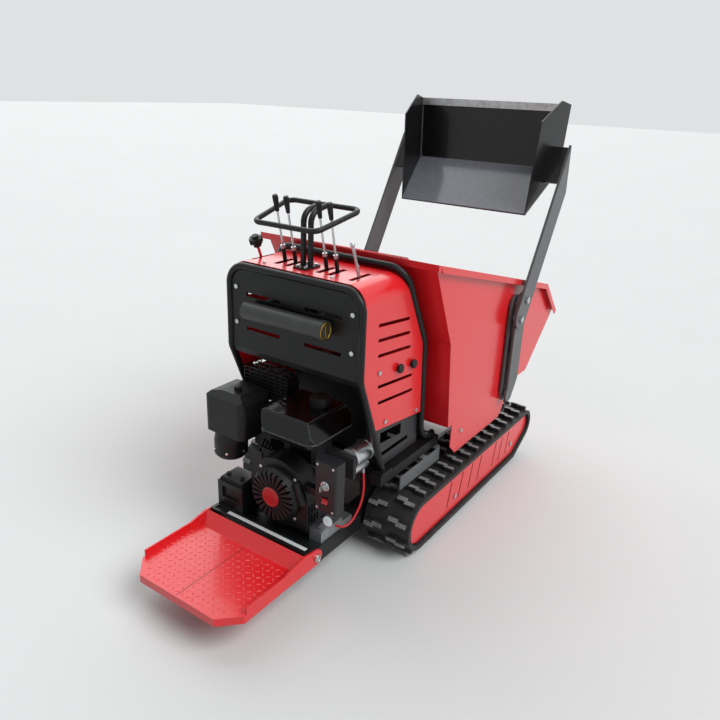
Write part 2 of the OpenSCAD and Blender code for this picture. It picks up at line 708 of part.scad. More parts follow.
module air_cleaner_knob() {
    color("#0f1011") translate([knob_xy.x, knob_xy.y, cleaner_z[1] + face_gap]) difference() {
        cylinder(r = 13, h = 14);
        for (a = [0 : 60 : 300]) rotate(a) translate([16, 0, -1]) cylinder(r = 5, h = 20);
    }
}

module muffler() {
    x = [-395, -335];
    y = [62, 228];
    z = [502, 596];
    color("#2a2a2a") {
        translate([0, (y[0] + y[1]) / 2, (z[0] + z[1]) / 2]) frame_slab(x[0], x[1])
            rounded(y[1] - y[0], z[1] - z[0], 30);
        translate([-391, 101, exhaust_z]) cylinder(r = 16, h = z[0] + 20 - exhaust_z);
        along(10, x[1] - 1, x[1] + 22, 190, 550);
    }
}

// Wire guard round the muffler: rear, left and top nets of one bent sheet
module net(w, h, rows, columns, wire) {
    cell = [(w - wire) / columns, (h - wire) / rows];
    difference() {
        square([w, h]);
        for (i = [0 : columns - 1], j = [0 : rows - 1])
            translate([wire + i * cell.x, wire + j * cell.y]) square([cell.x - wire, cell.y - wire]);
    }
}
module muffler_guard() {
    x = [-411.5, -325];
    y = [50, 240];
    z = [490, 610];
    wire = 3;
    color("#1a1a1a") {
        translate([0, y[0], z[0]]) frame_slab(x[0], x[0] + wire) net(y[1] - y[0], z[1] - z[0], 9, 7, wire);
        translate([x[0], 0, z[0]]) slab(y[1] - wire, y[1]) net(x[1] - x[0], z[1] - z[0], 9, 3, wire);
        translate([x[0], y[0], z[1] - wire]) linear_extrude(wire) net(x[1] - x[0], y[1] - y[0], 6, 3, wire);
        block([x[0] + 3, -398], [64, 76], [exhaust_z, z[0] + 30]);
        block([x[0], -398], [64, 76], [z[0], z[0] + 30]);
    }
}

// Switch box on the engine's right side
box_x = [-570, -520];
box_y = [-273, -193];
box_z = [300, 468];
module control_box() {
    hole_y = (box_y[0] + box_y[1]) / 2;
    color("#2d2e30") difference() {
        translate([(box_x[0] + box_x[1]) / 2, hole_y, box_z[0]]) linear_extrude(box_z[1] - box_z[0])
            rounded(box_x[1] - box_x[0], box_y[1] - box_y[0], 8);
        along(key_r + turn_gap, box_x[0] - 1, box_x[0] + 14, hole_y, key_z);
        block([box_x[0] - 1, box_x[0] + 12], [hole_y - 13, hole_y + 13], [stop_z - 14, stop_z + 14]);
        across(stop_pin_r + turn_gap, hole_y - 18, hole_y + 18, box_x[0] + 6, stop_z);
    }
}
key_z = 392;
key_r = 9;
stop_z = 340;
stop_pin_r = 2;
module key_switch() {
    hole_y = (box_y[0] + box_y[1]) / 2;
    color("#b5b8bb") {
        along(key_r, box_x[0] - 6, box_x[0] + 13, hole_y, key_z);
        block([box_x[0] - 26, box_x[0] - 5], [hole_y - 1.5, hole_y + 1.5], [key_z - 9, key_z + 9]);
    }
}
// Rocker on a cross pin in the box's window
module stop_switch() {
    hole_y = (box_y[0] + box_y[1]) / 2;
    color("#b3262a") {
        across(stop_pin_r, hole_y - 17, hole_y + 17, box_x[0] + 6, stop_z);
        slab(hole_y - 11, hole_y + 11) polygon([
            [box_x[0] + 9, stop_z - 6], [box_x[0] + 9, stop_z + 6], [box_x[0] - 2, stop_z + 9], [box_x[0] + 1, stop_z],
            [box_x[0] - 4, stop_z - 9]
        ]);
    }
}

// Starter on the crankcase's ear, with the solenoid under it
module starter_motor() {
    x = [starter_x, starter_x + 107];
    y = starter_y;
    z = 405;
    color("#a9adb1") {
        along(34, x[0], x[1], y, z);
        along(26, x[1] - 1, x[1] + 6, y, z);
        along(16, x[0] + 8, x[0] + 84, y - 6, z - 46);
        translate(cable_points[0]) cylinder(r = 5, h = 20);
    }
}
cable_points = [
    [-345, -220, 330], [-347, -223, 312], [-352, -228, 290], [-362, -233, 262], [-378, -236, 236],
    [-398, -236, 212], [-420, -234, 193], [-442, -228, 182], [-458, -216, 180], [-462, -200, 180]
];
cable_r = 4;
// Red cable held from the solenoid to the crankcase foot, swept as one tube
module starter_cable() {
    sides = 8;
    n = len(cable_points);
    function way(i) = unit(cable_points[min(i + 1, n - 1)] - cable_points[max(i - 1, 0)]);
    function ring(i) = let (d = way(i), u = unit(cross(d, [0, 1, 0.2])), v = cross(d, u))
        [for (k = [0 : sides - 1]) cable_points[i] + cable_r * (cos(k * 360 / sides) * u + sin(k * 360 / sides) * v)];
    points = [for (i = [0 : n - 1]) each ring(i)];
    walls = [for (i = [0 : n - 2], k = [0 : sides - 1]) let (a = i * sides + k, b = i * sides + (k + 1) % sides)
        each [[a, a + sides, b], [b, a + sides, b + sides]]];
    ends = [[for (k = [0 : sides - 1]) k], [for (k = [sides - 1 : -1 : 0]) (n - 1) * sides + k]];
    color("#c02028") polyhedron(points, concat(walls, ends));
}

module battery() {
    x = [-580, -500];
    y = battery_y;
    z = [base_z, base_z + 119];
    color("#1f2022") {
        block(x, y, z);
        block([x[0] - 2, x[1] + 2], [y[0] - 2, y[1] + 2], [z[1] - 26, z[1] - 4]);
        for (p = [y[0] + 18, y[1] - 18]) translate([x[0] + 20, p, z[1] - 1]) cylinder(r = 8, h = 13);
    }
}

// Gear pump on the crankshaft's front end
module hydraulic_pump() {
    x = -370;
    color("#85898d") {
        along(48, x, x + 26, crank_y, crank_z);
        block([x + 25, x + 108], [crank_y - 40, crank_y + 40], [crank_z - 52, crank_z + 44]);
        for (s = [-1, 1]) across(13, crank_y + s * 47 - 8, crank_y + s * 47 + 8, x + 62, crank_z);
    }
}
module oil_tank() {
    x = [-240, -112];
    half_w = 170;
    z = [deck_z, 600];
    color("#1d1e20") difference() {
        union() {
            translate([(x[0] + x[1]) / 2, 0, z[0]]) linear_extrude(z[1] - z[0])
                rounded(x[1] - x[0], 2 * half_w, 22);
            translate([-176, 110, z[1] - 1]) cylinder(r = 24, h = 26);
        }
        along(12, x[0] - 1, x[0] + 6, -120, 420);
    }
}

// Four-spool valve under the cowl, with the pivot rod of all the levers
module valve_block() {
    x = [lever_x - 40, lever_x + 40];
    spool_z = lever_pivot_z - 75;
    rod_y = [throttle_y - 14, choke_y + 14];
    ear_t = 8;
    color("#77797c") {
        block(x, [lever_ys[3] - 22, lever_ys[0] + 22], [spool_z - 40, spool_z + 34]);
        for (y = lever_ys) along(11, x[0] - 22, x[1] + 22, y, spool_z);
        both_sides() block([panel_x[1], x[0] + 1], [96, 112], [spool_z - 30, spool_z + 20]);
        for (y = [rod_y[0], -30, 22, rod_y[1] - ear_t])
            block([lever_x - 12, lever_x + 12], [y, y + ear_t], [spool_z + 33, lever_pivot_z + 10]);
        block([lever_x - 12, lever_x + 12], [rod_y[0], rod_y[1]], [spool_z + 20, spool_z + 34]);
        across(lever_pin_r, rod_y[0], rod_y[1], lever_x, lever_pivot_z);
    }
}

module rear_hoop() {
    w = hoop_half_w;
    foot = [rear_foot.x - 30, rear_foot.x + 30];
    color("#1d1e20") {
        pipe([
            [rear_foot.x, w, rear_foot.y], [rear_bend.x, w, rear_bend.y], [rear_bend.x, w, rear_hoop_z],
            [rear_bend.x, -w, rear_hoop_z], [rear_bend.x, -w, rear_bend.y], [rear_foot.x, -w, rear_foot.y]
        ], hoop_r, hoop_bend);
        both_sides() block(foot, [w - deck_w / 2, w + deck_w / 2], [deck_z, rear_foot.y + 2]);
    }
}
module front_hoop() {
    w = hoop_half_w;
    color("#1d1e20") {
        pipe([
            [front_foot_end, w, front_foot.y], [front_foot.x, w, front_foot.y], [front_bend.x, w, front_bend.y],
            [front_top.x, w, front_top.y], [front_top.x, -w, front_top.y], [front_bend.x, -w, front_bend.y],
            [front_foot.x, -w, front_foot.y], [front_foot_end, -w, front_foot.y]
        ], hoop_r, hoop_bend);
        both_sides() block([front_foot_end - 40, front_foot_end - 10], [w - hoop_r, w + hoop_r], [deck_z, front_foot.y]);
    }
}

// Rear panel inside the hoop, with four slits and a lower flap along the hoop's slant
module rear_panel() {
    half_w = hoop_half_w - tube_gap;
    top_z = rear_hoop_z - tube_gap;
    corner = hoop_bend - hoop_r;
    slit_y = [48, 188];
    slit_h = 12;
    flap = 22;
    slant = unit([rear_foot.x - rear_bend.x, rear_foot.y - rear_bend.y]);
    color("#202124") difference() {
        union() {
            frame_slab(panel_x[0], panel_x[1]) union() {
                translate([0, (rear_bend.y + top_z) / 2]) rounded(2 * half_w, top_z - rear_bend.y, corner);
                translate([-half_w, rear_bend.y]) square([2 * half_w, 2 * corner]);
            }
            slab(-half_w, half_w) polygon([
                [panel_x[0], rear_bend.y + 1], [panel_x[0], rear_bend.y],
                [panel_x[0] + flap * slant.x, rear_bend.y + flap * slant.y],
                [panel_x[1] + flap * slant.x, rear_bend.y + flap * slant.y + 1], [panel_x[1], rear_bend.y + 1]
            ]);
        }
        both_sides() for (z = [763, 876])
            block([panel_x[0] - 1, panel_x[1] + 1], slit_y, [z - slit_h / 2, z + slit_h / 2]);
    }
}
// Round case on two saddles on the rear panel
module document_tube() {
    r = 29;
    y = [-155, 158];
    x = panel_x[0] - r - 4;
    z = 838;
    color("#26272a") {
        across(r, y[0], y[1], x, z);
        across(r + 1.5, y[0], y[0] + 22, x, z);
        for (s = [-96, 72]) block([x, panel_x[0]], [s, s + 22], [z - 16, z + 16]);
    }
}

// Cowl's side outline between the hoops, clear of their tubes
cowl_outline = let (
    front_line = unit(front_top - front_bend), front_off = tube_gap * left_of(front_line),
    leg_off = tube_gap * left_of(unit(front_bend - front_foot)),
    rear_line = unit(rear_bend - rear_foot), rear_off = tube_gap * left_of(rear_line),
    bottom_z = [497, 459],
    rear_top = [rear_bend.x, rear_hoop_z],
    front_gap = tube_gap + bend_cut(front_foot, front_bend, front_top),
    rear_gap = tube_gap + bend_cut(rear_top, rear_bend, rear_foot),
    front_joint = moved_corner(front_foot, front_bend, front_top, front_gap, front_gap),
    rear_joint = moved_corner(rear_top, rear_bend, rear_foot, rear_gap, rear_gap)
) [
    rear_foot - rear_off + rear_line * ((bottom_z[0] - rear_foot.y + rear_off.y) / rear_line.y),
    front_foot + leg_off + (front_bend - front_foot) * ((bottom_z[1] - front_foot.y - leg_off.y)
        / (front_bend.y - front_foot.y)),
    front_joint,
    front_bend + front_off + front_line * ((cowl_top_z - front_bend.y - front_off.y) / front_line.y),
    [rear_bend.x + tube_gap, cowl_top_z],
    rear_joint
];
// Space under the cowl's outline, its upper corners round
module cowl_space(outline, inset_y) {
    w = cowl_half_w - inset_y;
    r = cowl_corner - inset_y;
    y = cowl_half_w - cowl_corner;
    low_z = 300;
    arc_z = cowl_top_z + 0.4 - cowl_corner;
    intersection() {
        slab(-w, w) polygon(outline);
        frame_slab(-600, 100) union() {
            translate([-w, low_z]) square([2 * w, arc_z - low_z]);
            translate([-y, low_z]) square([2 * y, arc_z + r - low_z]);
            for (side_y = [-y, y]) translate([side_y, arc_z]) circle(r = r);
        }
    }
}
module cowl() {
    t = cowl_t;
    slots = [[-357, 848, 172], [-356, 800, 177], [-353, 750, 184], [-346, 646, 200], [-341, 590, 202]];
    slot_h = 11;
    slot_fall = 6.3;
    color("#e0252b") difference() {
        cowl_space(cowl_outline, 0);
        cowl_space(inset(cowl_outline, [-60, t, t, t, -60, -60]), t);
        both_sides() for (s = slots) translate([s[0], 0, s[1]]) rotate([0, slot_fall, 0])
            slab(cowl_half_w - t - 1, cowl_half_w + 1) union() {
                translate([0, -slot_h / 2]) square([s[2], slot_h]);
                for (x = [0, s[2]]) translate([x, 0]) circle(r = slot_h / 2);
            }
        for (y = lever_ys) lever_opening(lever_slot, y, 10);
        for (y = [choke_y, throttle_y]) lever_opening(side_slot, y, 9);
    }
}

module lever_opening(x, y, half_w) {
    block([lever_x + x[0], lever_x + x[1]], [y - half_w, y + half_w], [cowl_top_z - 40, cowl_top_z + 20]);
}

// Lower side plates between the hoops' legs, with a window
module side_plates() {
    y = [hoop_half_w - tube_gap - 3, hoop_half_w - tube_gap];
    color("#47494c") both_sides() slab(y[0], y[1]) difference() {
        polygon([
            [rear_foot.x + 8, deck_z + 8.5], [front_foot.x - 8, deck_z + 8.5], [front_foot.x - 6, 455],
            [rear_foot.x - 46, 492]
        ]);
        polygon([[-300, 425], [-170, 412], [-170, 452], [-300, 465]]);
        translate([-290, 372]) square([170, 16]);
    }
}

// Ring handle on two stems with a bolted flange
module handle() {
    near = [-472, 118];
    far = [-282, 141];
    stem_y = 14;
    stem_x = -364;
    flange_half = [36, 25];
    color("#1f2023") translate([0, handle_y, 0]) {
        pipe([
            [near.x, 0, handle_near_z], [near.x, near.y, handle_near_z], [far.x, far.y, handle_top_z],
            [far.x, -far.y, handle_top_z], [near.x, -near.y, handle_near_z], [near.x, 0, handle_near_z]
        ], handle_r, 28);
        both_sides() pipe([
            [stem_x, stem_y, cowl_top_z], [stem_x, stem_y, handle_top_z - 14], [far.x, stem_y, handle_top_z]
        ], handle_r + 1, 40);
        block([stem_x - flange_half.x, stem_x + flange_half.x], [-flange_half.y, flange_half.y],
            [cowl_top_z, cowl_top_z + 6]);
        for (i = [-1, 1], j = [-1, 1]) translate([stem_x + i * 26, j * 16, cowl_top_z + 5])
            cylinder(r = 6, h = 6, $fn = 6);
    }
}

// Sprocket with its shaft in the motor's bore
module sprocket() {
    tip_r = sprocket_seat_r - 3;
    root_r = tip_r - 15;
    half_w = 12;
    tooth = 360 / sprocket_teeth;
    color("#4a4c4f") {
        translate([sprocket_x, 0, sprocket_z]) slab(track_y - half_w, track_y + half_w) polygon([
            for (i = [0 : sprocket_teeth - 1]) each [
                root_r * away((i - 0.30) * tooth), tip_r * away((i - 0.14) * tooth),
                tip_r * away((i + 0.14) * tooth), root_r * away((i + 0.30) * tooth)
            ]
        ]);
        across(28, track_y - beam_half_w + bracket_t + 1, track_y + half_w + 6, sprocket_x, sprocket_z);
        across(sprocket_shaft_r, track_in_y + 12, track_y, sprocket_x, sprocket_z);
    }
}
module drive_sprocket_left() { sprocket(); }
module drive_sprocket_right() { side(false) sprocket(); }

// A wheel turned from a profile, with its bore on a fixed axle
module wheel_on_axle(r, x, z) {
    b = axle_r + turn_gap;
    h = wheel_half_w;
    color("#3b3d40") translate([x, track_y, z]) rotate([-90, 0, 0]) rotate_extrude() polygon([
        [b, -h], [b + 8, -h], [b + 8, 10 - h], [r - 9, 10 - h], [r - 9, -h], [r - 2, -h], [r, 2 - h], [r, h - 2],
        [r - 2, h], [r - 9, h], [r - 9, h - 10], [b + 8, h - 10], [b + 8, h], [b, h]
    ]);
}
module idler_left() { wheel_on_axle(idler_r, idler_x, idler_z); }
module idler_right() { side(false) wheel_on_axle(idler_r, idler_x, idler_z); }
module roller_front_left() { wheel_on_axle(roller_r, roller_xs[0], roller_z); }
module roller_front_right() { side(false) wheel_on_axle(roller_r, roller_xs[0], roller_z); }
module roller_rear_left() { wheel_on_axle(roller_r, roller_xs[1], roller_z); }
module roller_rear_right() { side(false) wheel_on_axle(roller_r, roller_xs[1], roller_z); }

// A hand lever: boss on the pivot rod, sleeve, nut, thin rod and tapered grip
module hand_lever(y) {
    reach = (lever_top_z - lever_pivot_z) / cos(lever_lean);
    grip_h = 52;
    color("#9da0a4") translate([lever_x, y, lever_pivot_z]) rotate([0, -lever_lean, 0]) difference() {
        union() {
            across(10, -7, 7, 0, 0);
            cylinder(r = 6.5, h = 100);
            translate([0, 0, 99]) cylinder(r = 8, h = 11, $fn = 6);
            cylinder(r = 3.5, h = reach - 20);
            translate([0, 0, reach - grip_h]) rotate_extrude() polygon([
                [0, 0], [6, 0], [6.5, 3], [9, grip_h - 14], [9, grip_h - 6], [7, grip_h], [0, grip_h]
            ]);
        }
        across(lever_pin_r + turn_gap, -8, 8, 0, 0);
    }
}
module drive_lever_left() { hand_lever(lever_ys[0]); }
module drive_lever_right() { hand_lever(lever_ys[1]); }
module tip_lever() { hand_lever(lever_ys[2]); }
module shovel_lever() { hand_lever(lever_ys[3]); }

// Flat throttle lever with a small ball
module throttle_lever() {
    color("#b9bcc0") translate([lever_x, throttle_y, lever_pivot_z]) rotate([0, -throttle_lean, 0]) difference() {
        union() {
            across(10, -5, 5, 0, 0);
            translate([-5, -2, 0]) cube([10, 4, 168]);
            translate([0, 0, 168]) sphere(r = 8);
        }
        across(lever_pin_r + turn_gap, -8, 8, 0, 0);
    }
}
// Short choke lever with a lobed knob
module choke_lever() {
    lobes = 6;
    color("#151617") translate([lever_x, choke_y, lever_pivot_z]) rotate([0, -choke_lean, 0]) difference() {
        union() {
            across(10, -5.5, 5.5, 0, 0);
            cylinder(r = 4.5, h = 104);
            translate([0, 0, 98]) cylinder(r = 13, h = 14);
            translate([0, 0, 110]) linear_extrude(18) difference() {
                circle(r = 22);
                for (i = [0 : lobes - 1]) rotate(i * 360 / lobes) translate([25, 0]) circle(r = 7);
            }
            translate([0, 0, 127]) cylinder(r = 11, h = 9);
        }
        across(lever_pin_r + turn_gap, -8, 8, 0, 0);
    }
}

// Folded hopper with a turned rim, skirts, pivot ears and the rams' ears
module hopper() {
    w = hopper_half_w;
    t = hopper_t;
    rim_points = [hopper_outline[4], hopper_outline[5], hopper_outline[0]];
    ear_y = [tip_bracket_y + tip_bracket_t + 1, tip_bracket_y + 2 * tip_bracket_t + 1];
    tip_eye_y = [18, 28];
    loader_eye_y = [16, 24];
    back = unit(hopper_outline[0] - hopper_outline[5]) * (rim_w - t);
    rear = hopper_outline[0];
    color("#dc1f26") difference() {
        union() {
            difference() {
                slab(-w, w) polygon(hopper_outline);
                slab(t - w, w - t) polygon(inset(hopper_outline, [t, t, t, t, -80, -80]));
            }
            both_sides() {
                slab(w - 1, w + rim_w) rim_strip(t);
                slab(w + rim_w - t, w + rim_w) rim_strip(rim_h);
                slab(w + rim_w - t, w + rim_w)
                    polygon([rear + [2, -t], rear, rear + back, rear + back - [0, rim_h], rear + [2, -rim_h]]);
                slab(w - t, w) polygon([
                    [40, hopper_floor_z + 4], [40, 300], [84, 258], [470, 258], [505, 296],
                    [505, hopper_floor_z + 4]
                ]);
                across(30, w - 16, w + 5.5, loader_x, loader_z);
                slab(ear_y[0], ear_y[1]) ear_outline([tip_x, tip_z], 22);
                slab(tip_eye_y[0], tip_eye_y[1]) ear_outline(tip_ram_eye, 24);
            }
            for (s = [-1, 1]) translate([0, loader_ram_y, 0])
                slab(s > 0 ? loader_eye_y[0] : -loader_eye_y[1], s > 0 ? loader_eye_y[1] : -loader_eye_y[0])
                    ear_outline(loader_ram_foot, 18);
            across(ram_pin_r - 2, loader_ram_y - loader_eye_y[1], loader_ram_y + loader_eye_y[1],
                loader_ram_foot.x, loader_ram_foot.y);
            slab(-w - rim_w, w + rim_w) polygon([
                rear, rear + back, rear + back - [0, rim_h], rear + back + [t, -rim_h], rear + back + [t, -t - 1],
                rear + [2, -t]
            ]);
        }
        both_sides() {
            across(loader_shaft_r + turn_gap, w - 17, w + 6, loader_x, loader_z);
            across(tip_pin_r + turn_gap, ear_y[0] - 1, ear_y[1] + 1, tip_x, tip_z);
        }
    }
}
// Strip of the hopper's outline along its open top, h deep
module rim_strip(h) {
    inner = inset(hopper_outline, [0, 0, 0, 0, h, h]);
    polygon([hopper_outline[4], hopper_outline[5], hopper_outline[0], inner[0], inner[5], inner[4]]);
}
// An ear that hangs from the hopper's floor round a pin
module ear_outline(pin, r) {
    translate(pin) circle(r = r);
    translate([pin.x - r, pin.y]) square([2 * r, hopper_floor_z + 1 - pin.y]);
}

// Torque shaft with its crank and a double plate at each side
module lower_arms() {
    x = [lower_arm_x - lower_arm_half_w, lower_arm_x + lower_arm_half_w];
    inner_x = [x[0] - 15, x[1] - 20];
    eye_gap = 16;
    crank_t = 8;
    color("#4c4e51") difference() {
        union() {
            across(loader_shaft_r, -arm_in_y, arm_in_y, loader_x, loader_z);
            both_sides() {
                slab(lower_arm_out_y, arm_in_y) arm_plate_outline(x, lower_arm_top_z);
                slab(inner_plate_y[0], inner_plate_y[1]) arm_plate_outline(inner_x, lower_arm_top_z - 10);
                block([lower_arm_x - 18, lower_arm_x + 12], [inner_plate_y[1] - 1, lower_arm_out_y + 1], [540, 590]);
            }
            for (s = [-1, 1]) translate([0, loader_ram_y + s * (eye_gap + crank_t / 2), 0])
                slab(-crank_t / 2, crank_t / 2) union() {
                    translate([loader_x, loader_z]) circle(r = 17);
                    translate(loader_ram_eye) circle(r = 17);
                    translate([loader_x, loader_z]) rotate(crank_angle - 90) translate([0, -17]) square([crank_r, 34]);
                }
        }
        both_sides() for (t = arm_bolts_t) arm_bolt_place(t) translate([0, 0, -arm_t - 1])
            cylinder(r = bolt_r + face_gap, h = 2 * arm_t + 2);
    }
}
module arm_plate_outline(x, top_z) {
    r = (x[1] - x[0]) / 2;
    translate([(x[0] + x[1]) / 2, top_z - r]) circle(r = r);
    polygon([
        [x[0], loader_z], [x[0], top_z - r], [x[1], top_z - r], [x[1], loader_z + 50], [x[1] - 30, loader_z]
    ]);
    translate([loader_x, loader_z]) circle(r = 32);
}
// Puts its child on the upper arm's middle line, t from the arm's foot, looking outward from the arm's inner face
module arm_bolt_place(t) {
    translate([arm_foot.x + t * sin(arm_lean), arm_in_y, arm_foot.y + t * cos(arm_lean)]) rotate([-90, 0, 0]) children();
}

module upper_arm_outline() {
    w = upper_arm_w / 2;
    cut = 150;
    translate(arm_foot) rotate(-arm_lean) {
        circle(r = w);
        polygon([[-w, 0], [w, 0], [w, arm_length - cut], [-w, arm_length]]);
    }
}
module upper_arms() {
    color("#5a5c5f") both_sides() difference() {
        slab(arm_in_y, arm_half_w) upper_arm_outline();
        for (t = arm_bolts_t) arm_bolt_place(t) translate([0, 0, -1])
            cylinder(r = bolt_r + face_gap, h = arm_t + 2);
    }
}
module arm_bolts() {
    head_r = 14;
    head_h = 8;
    color("#c6c8ca") both_sides() for (t = arm_bolts_t) arm_bolt_place(t) {
        translate([0, 0, -arm_t]) cylinder(r = bolt_r, h = 2 * arm_t + head_h);
        translate([0, 0, arm_t]) cylinder(r = head_r, h = head_h, $fn = 6);
        translate([0, 0, -arm_t - 7]) cylinder(r = head_r - 1, h = 7, $fn = 6);
    }
}

// The space inside the bucket's flared sides, moved in by d
module bucket_space(d) {
    big = 1400;
    intersection() {
        bucket_half_space(d) translate([-big, -big, -big]) cube([2 * big, big, 2 * big]);
        mirror([0, 1, 0]) bucket_half_space(d) translate([-big, -big, -big]) cube([2 * big, big, 2 * big]);
    }
}
module bucket_half_space(d) {
    translate([bucket_outline[0].x, bucket_side_y, bucket_outline[0].y]) rotate([-bucket_rise, 0, bucket_flare])
        translate([0, -d, 0]) children();
}
module bucket() {
    w = arm_half_w;
    t = bucket_t;
    weld = 8;
    across_arm = -upper_arm_w / 2;
    color("#2b2c2e") {
        difference() {
            intersection() {
                slab(-w, w) polygon(bucket_outline);
                bucket_space(0);
            }
            intersection() {
                slab(-w, w) polygon(inset(bucket_outline, [t, t, -60, -60, -60]));
                bucket_space(t);
            }
        }
        both_sides() difference() {
            slab(bucket_side_y, arm_in_y) translate(arm_foot) rotate(-arm_lean) polygon([
                [across_arm, 530], [across_arm + weld, 530], [across_arm + weld, 660], [across_arm, 680]
            ]);
            bucket_space(t / 2);
        }
    }
}
// Wear strip along the inner face of the bucket's front edge
module cutting_edge() {
    depth = 28;
    thick = 6;
    b = bucket_outline[2];
    up = unit(b - bucket_outline[1]);
    inner = left_of(up);
    base = b + inner * bucket_t;
    color("#b8babc") intersection() {
        slab(-arm_half_w, arm_half_w) polygon([base, base + inner * thick, base + inner * thick - up * depth, base - up * depth]);
        bucket_space(bucket_t + face_gap);
        slab(-arm_half_w, arm_half_w) polygon(inset(bucket_outline, [0, 0, 0, -60, -60]));
    }
}

// Ram along a line from its foot to its eye: barrel with a blind bore, and rod
module on_line(a, b) { translate([a.x, 0, a.y]) rotate([0, -atan2(b.y - a.y, b.x - a.x), 0]) children(); }
module ram_barrel(a, b, r, eye_half_w, pin_r, length, bore) {
    on_line(a, b) difference() {
        union() {
            across(r - 4, -eye_half_w, eye_half_w, 0, 0);
            block([0, r + 4], [-eye_half_w, eye_half_w], [4 - r, r - 4]);
            along(r, r, length, 0, 0);
            along(r + 4, length - 22, length, 0, 0);
        }
        across(pin_r + turn_gap, -eye_half_w - 1, eye_half_w + 1, 0, 0);
        along(bore + turn_gap, r + 12, length + 1, 0, 0);
    }
}
module ram_rod(a, b, start, eye_r, eye_half_w, r) {
    reach = norm(b - a);
    on_line(a, b) difference() {
        union() {
            along(r, start, reach - eye_r + 4, 0, 0);
            across(eye_r, -eye_half_w, eye_half_w, reach, 0);
        }
        across(8, -eye_half_w - 1, eye_half_w + 1, reach, 0);
    }
}
module tip_ram_barrel() {
    color("#1e1f21") ram_barrel(tip_ram_foot, tip_ram_eye, tip_ram_r, 15, ram_pin_r, 250, rod_r);
}
module tip_ram_rod() { color("#cfd2d5") ram_rod(tip_ram_foot, tip_ram_eye, 90, 18, 14, rod_r); }
module loader_ram_barrel() {
    color("#1e1f21") translate([0, loader_ram_y, 0])
        ram_barrel(loader_ram_foot, loader_ram_eye, loader_ram_r, 13, ram_pin_r - 2, 230, rod_r - 2);
}
module loader_ram_rod() {
    color("#cfd2d5") translate([0, loader_ram_y, 0]) ram_rod(loader_ram_foot, loader_ram_eye, 130, 15, 12, rod_r - 2);
}

chassis_frame();
track_frames();
track_left();
track_right();
track_covers();
track_guards();
cover_bolts();
engine_base();
engine_block();
fan_housing();
recoil_cover();
fuel_tank();
air_cleaner();
muffler();
muffler_guard();
control_box();
starter_motor();
starter_cable();
battery();
hydraulic_pump();
oil_tank();
valve_block();
rear_hoop();
front_hoop();
rear_panel();
document_tube();
cowl();
side_plates();
handle();
hinge_pins();
drive_sprocket_left();
drive_sprocket_right();
idler_left();
idler_right();
roller_front_left();
roller_front_right();
roller_rear_left();
roller_rear_right();
platform();
recoil_handle();
fuel_cap();
air_cleaner_knob();
key_switch();
stop_switch();
drive_lever_left();
drive_lever_right();
tip_lever();
shovel_lever();
throttle_lever();
choke_lever();
hopper();
lower_arms();
upper_arms();
arm_bolts();
bucket();
cutting_edge();
tip_ram_barrel();
tip_ram_rod();
loader_ram_barrel();
loader_ram_rod();
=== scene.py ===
import math

import bmesh
import bpy
from mathutils import Matrix, Vector


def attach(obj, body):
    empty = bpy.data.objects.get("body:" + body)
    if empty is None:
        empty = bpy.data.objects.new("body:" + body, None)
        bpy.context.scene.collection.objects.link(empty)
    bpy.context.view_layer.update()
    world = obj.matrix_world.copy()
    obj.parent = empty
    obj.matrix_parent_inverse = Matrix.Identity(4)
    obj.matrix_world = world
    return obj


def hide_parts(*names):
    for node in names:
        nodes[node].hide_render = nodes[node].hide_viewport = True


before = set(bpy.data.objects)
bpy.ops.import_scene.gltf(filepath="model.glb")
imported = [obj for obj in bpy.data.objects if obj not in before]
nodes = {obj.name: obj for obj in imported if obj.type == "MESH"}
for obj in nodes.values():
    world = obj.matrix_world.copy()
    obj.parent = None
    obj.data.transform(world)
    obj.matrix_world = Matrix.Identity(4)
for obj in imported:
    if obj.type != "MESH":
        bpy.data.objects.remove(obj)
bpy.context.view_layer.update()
scene = bpy.context.scene
print("frame loaded:", len(nodes), "nodes")


# sRGB hex to linear light
def linear(hexColour):
    parts = [int(hexColour[i:i + 2], 16) / 255 for i in (0, 2, 4)]
    return [c / 12.92 if c <= 0.04045 else ((c + 0.055) / 1.055) ** 2.4 for c in parts] + [1.0]


# numbered inputs: a map range has its limits from and to in 1 to 4,
# a mix has its share in 0, its numbers in 2 and 3 and its colours in 6 and 7
def addNode(tree, kind, inputs=None, **settings):
    node = tree.nodes.new(kind)
    for key, value in settings.items():
        setattr(node, key, value)
    for key, value in (inputs or {}).items():
        if isinstance(value, bpy.types.NodeSocket):
            tree.links.new(value, node.inputs[key])
        else:
            node.inputs[key].default_value = value
    return node


def newMaterial(name):
    mat = bpy.data.materials.new(name)
    mat.use_nodes = True
    tree = mat.node_tree
    shader = tree.nodes["Principled BSDF"]
    place = addNode(tree, "ShaderNodeTexCoord").outputs["Object"]
    return mat, tree, shader, place


# camera: solved from the photo's straight edges, in metres and degrees, for an image of 720 by 720
view = {"place": (-1.995, -1.2965, 1.4974), "yaw": 33.89, "pitch": 21.44, "roll": 2.37, "focalPx": 691.82,
        "imagePx": 720, "sensorMm": 36, "farEnd": 200}
yaw, pitch, roll = (math.radians(view[k]) for k in ("yaw", "pitch", "roll"))
forward = Vector((math.cos(yaw) * math.cos(pitch), math.sin(yaw) * math.cos(pitch), -math.sin(pitch)))
side = Vector((math.sin(yaw), -math.cos(yaw), 0))
up = side.cross(forward)
right = side * math.cos(roll) + up * math.sin(roll)
top = up * math.cos(roll) - side * math.sin(roll)
camera = bpy.data.objects.new("camera", bpy.data.cameras.new("camera"))
camera.data.sensor_width = view["sensorMm"]
camera.data.lens = view["focalPx"] / view["imagePx"] * view["sensorMm"]
camera.data.clip_end = view["farEnd"]
turn = Matrix((right, top, -forward)).transposed().to_4x4()
camera.matrix_world = Matrix.Translation(view["place"]) @ turn
scene.collection.objects.link(camera)
scene.camera = camera
print("camera set")

